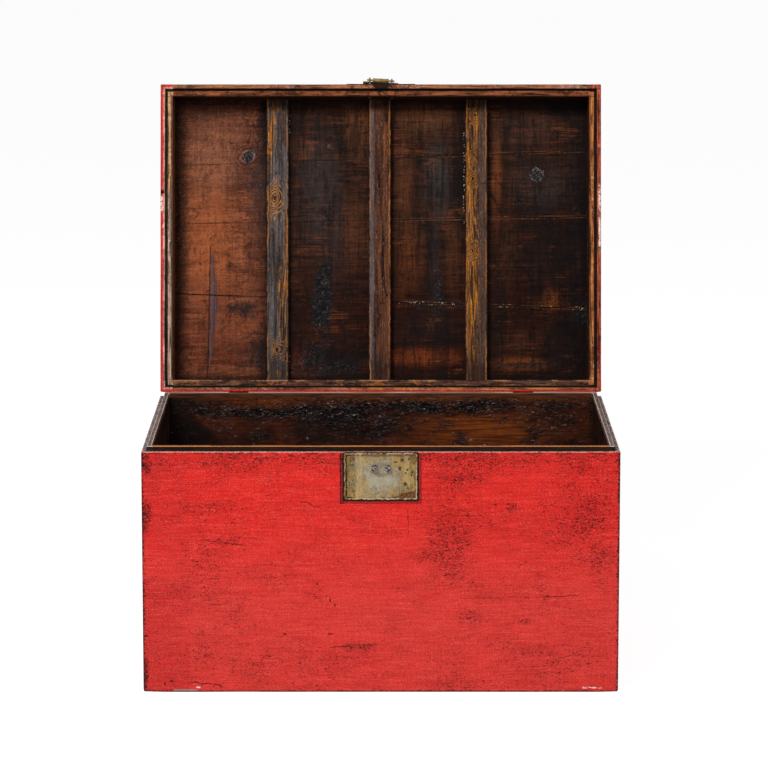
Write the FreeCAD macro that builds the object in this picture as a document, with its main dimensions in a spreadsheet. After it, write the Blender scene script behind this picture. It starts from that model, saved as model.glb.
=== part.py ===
"""Red lacquered storage trunk with a hinged lid, modelled with its lid standing open.

Millimetres, +Z up, +X to the viewer's right, the front of the trunk towards -Y.
The origin is at the centre of the underside.

The carcass and the lid are boxes of finger-jointed boards.  An inner lip stands on the rim of
the carcass, and the rim of the lid is stepped to close over it.  Lid parts are drawn as they
lie on the closed trunk and are then swung about the hinge axis.  The hasp is drawn about its
own pin and is carried by the lid.
"""
import FreeCAD
import Part

import math
import os

import Sketcher

App = FreeCAD
Vector = App.Vector

SIZES = {
    # carcass
    "chest_width": 900.0,
    "chest_depth": 628.0,
    "base_height": 464.0,            # up to the ledge that the lid closes on
    "base_wall": 19.0,
    "ledge_width": 10.0,
    "lip_height": 9.0,
    "bottom_seat": 9.0,              # how far the bottom planks reach under the walls
    "bottom_thickness": 12.0,
    "plank_gap": 0.6,
    "corner_round": 3.0,
    # lid
    "lid_height": 115.0,
    "lid_wall": 24.0,
    "rim_gap": 0.4,                  # between the closed lid and the ledge
    "lip_fit": 0.6,                  # play between the two rims, sideways and upwards
    "lid_panel": 14.0,
    "lid_seat": 12.0,                # how far the top planks reach over the walls
    "lid_joint_front_left": 160.0,   # joints of the top planks, from the front face; they
    "lid_joint_front_right": 128.0,  # run at a slant from the left end to the right end
    "lid_joint_middle_left": 280.0,
    "lid_joint_middle_right": 264.0,
    "lid_joint_back_left": 424.0,
    "lid_joint_back_right": 456.0,
    "batten_width": 46.0,
    "batten_thickness": 24.0,
    "batten_left_place": -213.0,
    "batten_middle_place": -2.0,
    "batten_right_place": 197.0,
    "batten_end_gap": 0.5,
    "open_angle": 100.1,             # how far the lid is swung back from closed
    # hinges
    "hinge_place": 291.0,            # from the middle of the trunk to each hinge
    "hinge_width": 39.0,
    "hinge_axis_back": 5.5,          # behind the back face
    "hinge_axis_rise": 2.0,          # above the ledge
    "hinge_sheet": 2.2,
    "hinge_leaf_base": 60.0,
    "hinge_leaf_lid": 50.0,
    "hinge_barrel_radius": 5.2,
    "hinge_pin_radius": 2.9,
    "hinge_play": 0.1,
    "knuckle_gap": 0.3,
    "pin_end": 1.5,                  # how far the rivet-like pin ends stand out
    "stop_width": 11.0,
    "stop_reach": 22.0,              # from the hinge axis to the end of the stop lug
    "stop_depth": 24.0,              # how far down the leaf the stop lug is braced
    "stop_nose": 4.0,
    "stop_play": 0.3,
    "stop_clear": 1.8,               # between the turning knuckle and the lug
    # lock plates
    "plate_width": 140.0,
    "plate_height": 92.0,
    "plate_sheet": 2.0,
    "plate_inset": 0.8,              # from the rim to the edge of each plate
    "plate_play": 0.8,
    "lower_plate_recess": 1.6,
    "upper_plate_recess": 1.0,
    # staples that pass through the hasp
    "staple_spacing": 25.7,
    "staple_drop": 29.3,             # below the upper edge of the lower plate
    "staple_width": 9.5,
    "staple_height": 10.0,
    "staple_reach": 13.0,
    "staple_strap": 2.0,
    "tang_width": 5.0,
    "tang_play": 0.2,
    "clinch_length": 9.0,
    # hasp and the two eyes that carry it
    "eye_spacing": 45.0,
    "eye_rise": 28.0,                # above the rim of the lid
    "eye_stand": 10.3,               # from the lid's face out to the pin
    "eye_wire_radius": 1.6,
    "eye_shank_radius": 1.9,
    "eye_clinch_sheet": 1.6,         # the bent end of the shank is hammered flat
    "eye_clinch_margin": 0.5,
    "eye_play": 0.35,
    "hasp_pin_radius": 1.95,
    "hasp_pin_end": 4.0,
    "hasp_play": 0.1,
    "hasp_barrel_radius": 4.0,
    "hasp_barrel_length": 33.0,
    "hasp_sheet": 2.0,
    "hasp_width": 73.0,
    "hasp_length": 74.0,
    "hasp_neck": 7.0,                # from the pin to the shoulders
    "hasp_round": 6.0,
    "slot_play": 1.2,
    "hasp_tilt": 3.0,                # the left eye stands higher than the right one
    "hasp_rest_lean": 2.5,
    # pegs, tacks and nails
    "peg_radius": 2.2,
    "peg_length": 30.0,
    "fastener_play": 0.1,
    "hole_end_gap": 1.0,
    "tack_radius": 0.9,
    "tack_head_radius": 2.0,
    "tack_head": 0.7,
    "tack_length": 8.5,
    "tack_inset": 7.0,
    "hinge_nail_radius": 1.4,
    "hinge_nail_head_radius": 3.4,
    "hinge_nail_head": 1.3,
    "hinge_nail_length": 14.0,       # under the head
    "hinge_nail_spread": 24.0,
    "base_nail_first": 34.0,         # from the hinge axis to the first nails of a leaf
    "lid_nail_first": 22.0,
    "hinge_nail_pitch": 18.0,
}

BASE_FINGERS = 7
LID_FINGERS = 3
BOTTOM_PLANKS = 5


class Size:
    """A length that carries its value together with the sheet formula that it comes from."""

    def __init__(self, value, formula):
        self.value = value
        self.formula = formula

    @staticmethod
    def of(other):
        return other if isinstance(other, Size) else Size(float(other), repr(float(other)))

    def __add__(self, other):
        other = Size.of(other)
        return Size(self.value + other.value, f"({self.formula} + {other.formula})")

    def __sub__(self, other):
        other = Size.of(other)
        return Size(self.value - other.value, f"({self.formula} - {other.formula})")

    def __mul__(self, other):
        other = Size.of(other)
        return Size(self.value * other.value, f"({self.formula} * {other.formula})")

    def __truediv__(self, other):
        other = Size.of(other)
        return Size(self.value / other.value, f"({self.formula} / {other.formula})")

    def __neg__(self):
        return Size(-self.value, f"(-1 * {self.formula})")

    __radd__ = __add__
    __rmul__ = __mul__

    def __rsub__(self, other):
        return Size.of(other) - self

    def sine(self):
        return Size(math.sin(math.radians(self.value)), f"sin({self.formula} * 1 deg)")

    def cosine(self):
        return Size(math.cos(math.radians(self.value)), f"cos({self.formula} * 1 deg)")


doc = App.newDocument("storage_trunk")
sheet = doc.addObject("Spreadsheet::Sheet", "Sizes")


def fill_sheet():
    """Write every driving size to its own row and return the sizes by name."""
    for row, (name, value) in enumerate(SIZES.items(), start=1):
        sheet.set(f"A{row}", name)
        sheet.set(f"B{row}", str(value))
        sheet.setAlias(f"B{row}", name)
    doc.recompute()
    return {name: Size(float(sheet.get(name)), f"Sizes.{name}") for name in SIZES}


size = fill_sheet()
ZERO = Size.of(0.0)
OVERRUN = Size.of(5.0)               # how far a cut runs past the wood

# --- places that several pieces share -------------------------------------------------------
half_width = size["chest_width"] / 2
half_depth = size["chest_depth"] / 2
ledge = size["base_height"]
lip_top = ledge + size["lip_height"]
lid_bottom = ledge + size["rim_gap"]
lid_top = lid_bottom + size["lid_height"]
lid_step_top = lid_bottom + size["lip_height"] + size["lip_fit"]
lid_lip = size["ledge_width"] - size["lip_fit"]
panel_face = lid_top - size["lid_panel"]
bottom_reach_x = half_width - size["base_wall"] + size["bottom_seat"]
bottom_reach_y = half_depth - size["base_wall"] + size["bottom_seat"]
panel_reach_x = half_width - size["lid_wall"] + size["lid_seat"]
panel_reach_y = half_depth - size["lid_wall"] + size["lid_seat"]

hinge_y = half_depth + size["hinge_axis_back"]
hinge_z = ledge + size["hinge_axis_rise"]

lower_plate_top = ledge - size["plate_inset"]
lower_plate_bottom = lower_plate_top - size["plate_height"]
upper_plate_bottom = lid_bottom + size["plate_inset"]
upper_plate_top = upper_plate_bottom + size["plate_height"]
lower_plate_back = size["lower_plate_recess"] - half_depth
upper_plate_back = size["upper_plate_recess"] - half_depth
lower_plate_face = lower_plate_back - size["plate_sheet"]

staple_z = lower_plate_top - size["staple_drop"]
eye_z = lid_bottom + size["eye_rise"]
eye_y = -half_depth - size["eye_stand"]


def swung_open():
    """Placement that takes a piece drawn on the closed trunk to the open lid."""
    turn = App.Rotation(Vector(1, 0, 0), -size["open_angle"].value)
    return App.Placement(Vector(), turn, Vector(0, hinge_y.value, hinge_z.value))


def on_hasp_pin(lean):
    """Placement of a piece drawn about the hasp's pin, with +Y along the folded-back leaf."""
    at_pin = App.Placement(Vector(0, eye_y.value, eye_z.value), App.Rotation())
    tilt = App.Placement(Vector(), App.Rotation(Vector(0, 0, 1), size["hasp_tilt"].value))
    stand = App.Placement(Vector(), App.Rotation(Vector(1, 0, 0), 90.0 - lean))
    return swung_open() * at_pin * tilt * stand


# --- drawing helpers ------------------------------------------------------------------------
pieces = []


def new_piece(name):
    body = doc.addObject("PartDesign::Body", name)
    body.Label = name
    pieces.append(body)
    return body


def sketch_on(body, role, name, offset=ZERO):
    """An empty sketch on one of the body's own planes, moved along the plane's normal."""
    plane = next(part for part in body.Origin.OriginFeatures if part.Role == role)
    sketch = body.newObject("Sketcher::SketchObject", f"{body.Name}_{name}")
    sketch.AttachmentSupport = [(plane, "")]
    sketch.MapMode = "FlatFace"
    sketch.AttachmentOffset = App.Placement(Vector(0, 0, offset.value), App.Rotation())
    sketch.setExpression("AttachmentOffset.Base.z", offset.formula)
    return sketch


def pin_point(sketch, edge, end, across, up):
    """Hold one end of an edge, or a centre, at its sheet-driven place from the origin."""
    for kind, place in (("DistanceX", across), ("DistanceY", up)):
        index = sketch.addConstraint(Sketcher.Constraint(kind, -1, 1, edge, end, place.value))
        sketch.setExpression(f"Constraints[{index}]", place.formula)


def add_outline(sketch, corners):
    """A closed outline of straight edges through the corners, each an (across, up) pair."""
    corners = [(Size.of(across), Size.of(up)) for across, up in corners]
    spots = [Vector(across.value, up.value, 0) for across, up in corners]
    first = sketch.GeometryCount
    for index, spot in enumerate(spots):
        sketch.addGeometry(Part.LineSegment(spot, spots[(index + 1) % len(spots)]), False)
    for index, (across, up) in enumerate(corners):
        edge = first + index
        following = first + (index + 1) % len(corners)
        sketch.addConstraint(Sketcher.Constraint("Coincident", edge, 2, following, 1))
        pin_point(sketch, edge, 1, across, up)


def add_box(sketch, left, right, low, high):
    add_outline(sketch, [(left, low), (right, low), (right, high), (left, high)])


def add_circle(sketch, across, up, radius):
    across, up = Size.of(across), Size.of(up)
    centre = Vector(across.value, up.value, 0)
    edge = sketch.addGeometry(Part.Circle(centre, Vector(0, 0, 1), radius.value), False)
    index = sketch.addConstraint(Sketcher.Constraint("Radius", edge, radius.value))
    sketch.setExpression(f"Constraints[{index}]", radius.formula)
    pin_point(sketch, edge, 3, across, up)


def pad(body, sketch, length, both_ways=False, backwards=False):
    feature = body.newObject("PartDesign::Pad", f"{sketch.Name}_pad")
    feature.Profile = sketch
    feature.Length = length.value
    feature.setExpression("Length", length.formula)
    feature.Midplane = both_ways
    feature.Reversed = backwards
    sketch.Visibility = False


def cut(body, sketch, depth=None, backwards=False):
    """Cut the sketch out of the body: to a depth against its normal, or right through."""
    doc.recompute()
    before = body.Shape.Volume
    feature = body.newObject("PartDesign::Pocket", f"{sketch.Name}_cut")
    feature.Profile = sketch
    feature.Reversed = backwards
    if depth is None:
        feature.Type = "ThroughAll"
        feature.Midplane = True
    else:
        feature.Length = depth.value
        feature.setExpression("Length", depth.formula)
    doc.recompute()
    if body.Shape.Volume > before - 1e-6:
        raise RuntimeError(f"{feature.Name} removes nothing")


def round_edges(body, radius, wanted):
    """Round the straight edges whose start and end pass the test."""
    doc.recompute()
    base = body.Tip
    names = []
    for number, edge in enumerate(base.Shape.Edges, start=1):
        ends = [vertex.Point for vertex in edge.Vertexes]
        if len(ends) == 2 and wanted(*ends):
            names.append(f"Edge{number}")
    fillet = body.newObject("PartDesign::Fillet", f"{body.Name}_rounding")
    fillet.Base = (base, names)
    fillet.Radius = radius.value
    fillet.setExpression("Radius", radius.formula)


# --- boards of the carcass and of the lid ---------------------------------------------------
def finger_bands(low, high, count, first):
    """Heights (low, high) of every second finger, beginning with the numbered one."""
    band = (high - low) / count
    return [(low + band * number, low + band * (number + 1)) for number in range(first, count, 2)]


def cross_board(name, back, wall, low, high, fingers):
    """A front or back board, which shows its fingers 0, 2, 4... at both ends."""
    board = new_piece(name)
    outline = sketch_on(board, "XY_Plane", "outline", low)
    if back:
        add_box(outline, -half_width, half_width, half_depth - wall, half_depth)
    else:
        add_box(outline, -half_width, half_width, -half_depth, wall - half_depth)
    pad(board, outline, high - low)
    sockets = sketch_on(board, "XZ_Plane", "sockets")
    for bottom, top in finger_bands(low, high, fingers, 1):
        add_box(sockets, half_width - wall, half_width + OVERRUN, bottom, top)
        add_box(sockets, -half_width - OVERRUN, wall - half_width, bottom, top)
    cut(board, sockets)
    return board


def side_board(name, right, wall, low, high, fingers):
    """A side board, whose fingers fill the sockets of the front and back boards."""
    board = new_piece(name)
    outline = sketch_on(board, "XY_Plane", "outline", low)
    if right:
        add_box(outline, half_width - wall, half_width, -half_depth, half_depth)
    else:
        add_box(outline, -half_width, wall - half_width, -half_depth, half_depth)
    pad(board, outline, high - low)
    sockets = sketch_on(board, "YZ_Plane", "sockets")
    for bottom, top in finger_bands(low, high, fingers, 0):
        add_box(sockets, half_depth - wall, half_depth + OVERRUN, bottom, top)
        add_box(sockets, -half_depth - OVERRUN, wall - half_depth, bottom, top)
    cut(board, sockets)
    return board


def cut_inside(board, name, reach_x, reach_y, level, depth, upwards):
    """Cut away all wood within a rectangle about the origin: a step or a seat for planks."""
    area = sketch_on(board, "XY_Plane", name, level)
    add_box(area, -reach_x, reach_x, -reach_y, reach_y)
    cut(board, area, depth, backwards=upwards)


def cut_ledge(board):
    """Lower the outer half of the carcass rim, so that an inner lip stays standing."""
    ring = sketch_on(board, "XY_Plane", "ledge", ledge)
    over_x = half_width + OVERRUN
    over_y = half_depth + OVERRUN
    lip_x = half_width - size["ledge_width"]
    lip_y = half_depth - size["ledge_width"]
    add_box(ring, -over_x, over_x, -over_y, over_y)
    add_box(ring, -lip_x, lip_x, -lip_y, lip_y)
    cut(board, ring, size["lip_height"] + OVERRUN, backwards=True)


def near(first, second):
    return abs(first - second) < 1e-4


def on_upright_corner(start, end):
    """Both ends on one of the four outer corners of the box."""
    ends = (start, end)
    on_side = all(near(abs(point.x), half_width.value) for point in ends)
    on_face = all(near(abs(point.y), half_depth.value) for point in ends)
    return on_side and on_face


def on_lid_arris(start, end):
    """Both ends on one outer edge of the lid's top."""
    ends = (start, end)
    on_side = all(near(abs(point.x), half_width.value) for point in ends)
    on_face = all(near(abs(point.y), half_depth.value) for point in ends)
    return (on_side or on_face) and all(near(point.z, lid_top.value) for point in ends)


def on_lid_outline(start, end):
    return on_upright_corner(start, end) or on_lid_arris(start, end)


def along(start, end, count):
    """Middles of equal divisions of a length."""
    return [start + (end - start) * ((number + 0.5) / count) for number in range(count)]


def drill(body, role, name, spots, radius, level=ZERO, depth=None, backwards=False):
    """Round holes at the spots, to a depth from the level or right through."""
    holes = sketch_on(body, role, name, level)
    for across, up in spots:
        add_circle(holes, across, up, radius + size["fastener_play"])
    cut(body, holes, depth, backwards)


# --- bottom and top planks --------------------------------------------------------------------
def bottom_plank_edges():
    """Front and back edge of each bottom plank."""
    pitch = bottom_reach_y * 2 / BOTTOM_PLANKS
    half_gap = size["plank_gap"] / 2
    starts = [pitch * number - bottom_reach_y for number in range(BOTTOM_PLANKS)]
    return [(start + half_gap, start + pitch - half_gap) for start in starts]


def lid_plank_edges():
    """Edges of each top plank: front at the left end and right end, then back likewise."""
    half_gap = size["plank_gap"] / 2
    joints = [
        (half_depth - panel_reach_y, half_depth - panel_reach_y),
        (size["lid_joint_front_left"], size["lid_joint_front_right"]),
        (size["lid_joint_middle_left"], size["lid_joint_middle_right"]),
        (size["lid_joint_back_left"], size["lid_joint_back_right"]),
        (half_depth + panel_reach_y, half_depth + panel_reach_y),
    ]
    edges = []
    for (front_left, front_right), (back_left, back_right) in zip(joints, joints[1:]):
        fronts = (front_left + half_gap - half_depth, front_right + half_gap - half_depth)
        backs = (back_left - half_gap - half_depth, back_right - half_gap - half_depth)
        edges.append((*fronts, *backs))
    return edges


def bottom_peg_rows():
    """For each bottom plank, the pegs that hold its two ends."""
    place = (half_width - size["base_wall"] + bottom_reach_x) / 2
    rows = []
    for front, back in bottom_plank_edges():
        rows.append([(side * place, y) for y in along(front, back, 2) for side in (-1, 1)])
    return rows


def lid_end_pegs(edges):
    """The pegs at the two ends of one top plank."""
    front_left, front_right, back_left, back_right = edges
    place = (half_width - size["lid_wall"] + panel_reach_x) / 2
    left = [(-place, y) for y in along(front_left, back_left, 2)]
    right = [(place, y) for y in along(front_right, back_right, 2)]
    return left + right


def batten_pegs_at(place):
    """The pegs of one batten, one through each top plank."""
    spots = []
    for front_left, front_right, back_left, back_right in lid_plank_edges():
        middle = (front_left + front_right + back_left + back_right) / 4
        spots.append((place, middle))
    return spots


batten_places = {
    "left": size["batten_left_place"],
    "middle": size["batten_middle_place"],
    "right": size["batten_right_place"],
}


def peg_group(name, spots, level, downwards):
    pegs = new_piece(name)
    rounds = sketch_on(pegs, "XY_Plane", "rounds", level)
    for across, up in spots:
        add_circle(rounds, across, up, size["peg_radius"])
    pad(pegs, rounds, size["peg_length"], backwards=downwards)


# --- lock plates ------------------------------------------------------------------------------
half_plate = size["plate_width"] / 2
tack_x = half_plate - size["tack_inset"]


def plate_tack_spots(bottom, top):
    heights = (bottom + size["tack_inset"], top - size["tack_inset"])
    return [(side * tack_x, height) for side in (-1, 1) for height in heights]


def lock_plate(name, bottom, top, back):
    """A flat plate whose back lies at the given depth."""
    plate = new_piece(name)
    outline = sketch_on(plate, "XZ_Plane", "outline", -back)
    add_box(outline, -half_plate, half_plate, bottom, top)
    pad(plate, outline, size["plate_sheet"])
    drill(plate, "XZ_Plane", "tack_holes", plate_tack_spots(bottom, top), size["tack_radius"])
    return plate


def let_in_plate(board, bottom, top, recess):
    """The shallow recess of a plate in its board, and the holes of its tacks."""
    play = size["plate_play"]
    bed = sketch_on(board, "XZ_Plane", "plate_bed", half_depth)
    add_box(bed, -half_plate - play, half_plate + play, bottom - play, top + play)
    cut(board, bed, recess)
    depth = size["tack_length"] - size["plate_sheet"] + size["hole_end_gap"]
    spots = plate_tack_spots(bottom, top)
    drill(board, "XZ_Plane", "tack_holes", spots, size["tack_radius"], half_depth - recess, depth)


def headed_group(name, spots, face, kind, backwards):
    """Tacks or nails driven into a face that looks along -Y, or along +Y if backwards."""
    group = new_piece(name)
    shanks = sketch_on(group, "XZ_Plane", "shanks", -face)
    heads = sketch_on(group, "XZ_Plane", "heads", -face)
    for across, up in spots:
        add_circle(shanks, across, up, size[f"{kind}_radius"])
        add_circle(heads, across, up, size[f"{kind}_head_radius"])
    pad(group, shanks, size[f"{kind}_length"], backwards=not backwards)
    pad(group, heads, size[f"{kind}_head"], backwards=backwards)


# --- staples ------------------------------------------------------------------------------------
half_staple = size["staple_height"] / 2
half_spacing = size["staple_spacing"] / 2


def tang_holes(body):
    """Slots for the tangs of both staples, right through."""
    slots = sketch_on(body, "XZ_Plane", "tang_slots")
    half_slot = size["tang_width"] / 2 + size["tang_play"]
    for side in (-1, 1):
        for above in (-1, 1):
            middle = staple_z + above * (half_staple - size["staple_strap"] / 2)
            reach = size["staple_strap"] / 2 + size["tang_play"]
            left = side * half_spacing - half_slot
            right = side * half_spacing + half_slot
            add_box(slots, left, right, middle - reach, middle + reach)
    cut(body, slots)


def staple(name, side):
    """A loop of strap whose tangs pass through the front board and are bent over inside."""
    piece = new_piece(name)
    place = side * half_spacing
    bend_y = lower_plate_face - size["staple_reach"] + half_staple
    inner = half_staple - size["staple_strap"]
    flanks = sketch_on(piece, "YZ_Plane", "flanks", place)
    add_box(flanks, bend_y, lower_plate_face, staple_z - half_staple, staple_z + half_staple)
    pad(piece, flanks, size["staple_width"], both_ways=True)
    bow = sketch_on(piece, "YZ_Plane", "bow", place)
    add_circle(bow, bend_y, staple_z, half_staple)
    pad(piece, bow, size["staple_width"], both_ways=True)
    opening = sketch_on(piece, "YZ_Plane", "opening", place)
    add_box(opening, bend_y, lower_plate_face + OVERRUN, staple_z - inner, staple_z + inner)
    cut(piece, opening)
    eye = sketch_on(piece, "YZ_Plane", "eye", place)
    add_circle(eye, bend_y, staple_z, inner)
    cut(piece, eye)
    bent = size["base_wall"] - half_depth
    strap = size["staple_strap"]
    tangs = sketch_on(piece, "YZ_Plane", "tangs", place)
    for above in (-1, 1):
        outer = staple_z + above * half_staple
        inside = outer - above * strap
        tip = outer + above * size["clinch_length"]
        add_outline(tangs, [
            (lower_plate_face, inside), (lower_plate_face, outer), (bent, outer),
            (bent, tip), (bent + strap, tip), (bent + strap, inside),
        ])
    pad(piece, tangs, size["tang_width"], both_ways=True)


# --- hasp and its eyes --------------------------------------------------------------------------
half_eyes = size["eye_spacing"] / 2
wire = size["eye_wire_radius"]
eye_shank = size["eye_shank_radius"]
eye_bow = size["hasp_pin_radius"] + size["eye_play"] + wire
eye_spots = [(-half_eyes, eye_z), (half_eyes, eye_z)]


def hasp_eye(name, side):
    """A ring of wire on a shank that passes through the lid's front and is bent over inside."""
    piece = new_piece(name)
    place = side * half_eyes
    tilt = size["hasp_tilt"]
    ring_y = eye_y + place * (tilt.sine() / tilt.cosine())
    ring = piece.newObject("PartDesign::AdditiveTorus", f"{name}_ring")
    flat = next(part for part in piece.Origin.OriginFeatures if part.Role == "YZ_Plane")
    ring.AttachmentSupport = [(flat, "")]
    ring.MapMode = "FlatFace"
    for axis, where in (("x", ring_y), ("y", eye_z), ("z", place)):
        ring.setExpression(f"AttachmentOffset.Base.{axis}", where.formula)
    ring.setExpression("Radius1", eye_bow.formula)
    ring.setExpression("Radius2", wire.formula)
    doc.recompute()
    start = ring_y + eye_bow
    inside = size["lid_wall"] - half_depth
    shank = sketch_on(piece, "XZ_Plane", "shank", -start)
    add_circle(shank, place, eye_z, eye_shank)
    pad(piece, shank, inside + size["eye_clinch_sheet"] / 2 - start, backwards=True)
    half_clinch = eye_shank + size["eye_clinch_margin"]
    clinch = sketch_on(piece, "XZ_Plane", "clinch", -inside)
    tip = eye_z + size["clinch_length"]
    add_box(clinch, place - half_clinch, place + half_clinch, eye_z - half_clinch, tip)
    pad(piece, clinch, size["eye_clinch_sheet"], backwards=True)


def hasp_leaf():
    """The swinging leaf: a rolled barrel, a neck, and a broad end with a slot per staple."""
    leaf = new_piece("hasp_leaf")
    barrel = sketch_on(leaf, "YZ_Plane", "barrel")
    add_circle(barrel, ZERO, ZERO, size["hasp_barrel_radius"])
    pad(leaf, barrel, size["hasp_barrel_length"], both_ways=True)
    neck_x = size["hasp_barrel_length"] / 2
    edge_x = size["hasp_width"] / 2
    neck_y = size["hasp_neck"]
    end_y = size["hasp_length"]
    blade = sketch_on(leaf, "XY_Plane", "blade", -size["hasp_barrel_radius"])
    add_outline(blade, [
        (-neck_x, ZERO), (neck_x, ZERO), (neck_x, neck_y), (edge_x, neck_y),
        (edge_x, end_y), (-edge_x, end_y), (-edge_x, neck_y), (-neck_x, neck_y),
    ])
    pad(leaf, blade, size["hasp_sheet"])

    def at_blade_corner(start, end):
        return near(start.y, end.y) and near(start.x, end.x) and near(abs(end.x), edge_x.value)

    round_edges(leaf, size["hasp_round"], at_blade_corner)
    bore = sketch_on(leaf, "YZ_Plane", "bore")
    add_circle(bore, ZERO, ZERO, size["hasp_pin_radius"] + size["hasp_play"])
    cut(leaf, bore)
    drop = eye_z - staple_z
    play = size["slot_play"]
    half_slot = size["staple_width"] / 2 + play
    slots = sketch_on(leaf, "XY_Plane", "slots")
    for side in (-1, 1):
        middle = side * half_spacing
        near_end = drop - half_staple - play
        far_end = drop + half_staple + play * 2
        add_box(slots, middle - half_slot, middle + half_slot, near_end, far_end)
    cut(leaf, slots)
    leaf.Placement = on_hasp_pin(size["hasp_rest_lean"].value)


def hasp_pin():
    pin = new_piece("hasp_pin")
    section = sketch_on(pin, "YZ_Plane", "section")
    add_circle(section, ZERO, ZERO, size["hasp_pin_radius"])
    pad(pin, section, size["eye_spacing"] + (wire + size["hasp_pin_end"]) * 2, both_ways=True)
    pin.Placement = on_hasp_pin(0.0)


# --- hinges -------------------------------------------------------------------------------------
barrel_radius = size["hinge_barrel_radius"]
knuckle = size["hinge_width"] / 3
clear_radius = barrel_radius + size["knuckle_gap"]
leaf_face = half_depth + size["hinge_sheet"]
hinge_places = {"left": -size["hinge_place"], "right": size["hinge_place"]}


def hinge_nail_spots(place, first, upwards):
    direction = 1 if upwards else -1
    half_spread = size["hinge_nail_spread"] / 2
    heights = [hinge_z + direction * (first + size["hinge_nail_pitch"] * row) for row in (0, 1)]
    return [(place + side * half_spread, height) for side in (-1, 1) for height in heights]


def base_leaf_nails(place):
    return hinge_nail_spots(place, size["base_nail_first"], upwards=False)


def lid_leaf_nails(place):
    return hinge_nail_spots(place, size["lid_nail_first"], upwards=True)


def hinge_bore(leaf, place):
    bore = sketch_on(leaf, "YZ_Plane", "bore", place)
    add_circle(bore, hinge_y, hinge_z, size["hinge_pin_radius"] + size["hinge_play"])
    cut(leaf, bore)


def stop_lug(leaf, place):
    """The lug under the knuckle on which the lid's leaf comes to rest when it stands open."""
    angle = size["open_angle"]
    face_offset = size["hinge_axis_back"] - size["hinge_sheet"] - size["stop_play"]

    def rest_height(out):
        return hinge_z + (face_offset + out * angle.cosine()) / angle.sine()

    root = barrel_radius + size["stop_clear"]
    tip = size["stop_reach"]
    lug = sketch_on(leaf, "YZ_Plane", "stop_lug", place)
    add_outline(lug, [
        (half_depth, hinge_z - root),
        (hinge_y + root, hinge_z - root),
        (hinge_y + root, rest_height(root)),
        (hinge_y + tip, rest_height(tip)),
        (hinge_y + tip, rest_height(tip) - size["stop_nose"]),
        (half_depth, hinge_z - size["stop_depth"]),
    ])
    pad(leaf, lug, size["stop_width"], both_ways=True)


def base_hinge_leaf(name, place):
    """The leaf on the carcass, with the two outer knuckles and the stop lug."""
    leaf = new_piece(name)
    roll = sketch_on(leaf, "YZ_Plane", "roll", place)
    add_circle(roll, hinge_y, hinge_z, barrel_radius)
    pad(leaf, roll, size["hinge_width"], both_ways=True)
    flat = sketch_on(leaf, "YZ_Plane", "flat", place)
    add_box(flat, half_depth, leaf_face, hinge_z - size["hinge_leaf_base"], ledge)
    pad(leaf, flat, size["hinge_width"], both_ways=True)
    gap = sketch_on(leaf, "XZ_Plane", "knuckle_gap")
    half_gap = knuckle / 2 + size["knuckle_gap"]
    top = hinge_z + clear_radius
    add_box(gap, place - half_gap, place + half_gap, hinge_z - clear_radius, top)
    cut(leaf, gap)
    hinge_bore(leaf, place)
    stop_lug(leaf, place)
    drill(leaf, "XZ_Plane", "nail_holes", base_leaf_nails(place), size["hinge_nail_radius"])


def lid_hinge_leaf(name, place):
    """The leaf on the lid, with the middle knuckle."""
    leaf = new_piece(name)
    flat = sketch_on(leaf, "YZ_Plane", "flat", place)
    add_box(flat, half_depth, leaf_face, hinge_z, hinge_z + size["hinge_leaf_lid"])
    pad(leaf, flat, size["hinge_width"], both_ways=True)
    sides = sketch_on(leaf, "XZ_Plane", "knuckle_gaps")
    half_leaf = size["hinge_width"] / 2 + OVERRUN
    low = hinge_z - OVERRUN
    for side in (-1, 1):
        inner = place + side * (knuckle / 2)
        outer = place + side * half_leaf
        add_box(sides, inner, outer, low, hinge_z + clear_radius)
    cut(leaf, sides)
    roll = sketch_on(leaf, "YZ_Plane", "roll", place)
    add_circle(roll, hinge_y, hinge_z, barrel_radius)
    pad(leaf, roll, knuckle, both_ways=True)
    hinge_bore(leaf, place)
    drill(leaf, "XZ_Plane", "nail_holes", lid_leaf_nails(place), size["hinge_nail_radius"])


def hinge_pin(name, place):
    pin = new_piece(name)
    section = sketch_on(pin, "YZ_Plane", "section", place)
    add_circle(section, hinge_y, hinge_z, size["hinge_pin_radius"])
    pad(pin, section, size["hinge_width"] + size["pin_end"] * 2, both_ways=True)


def nail_holes_for_hinges(board, spots):
    """Blind holes in a back board, drilled from its outer face."""
    depth = size["hinge_nail_length"] - size["hinge_sheet"] + size["hole_end_gap"]
    radius = size["hinge_nail_radius"]
    drill(board, "XZ_Plane", "hinge_nail_holes", spots, radius, -half_depth, depth, True)


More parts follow.
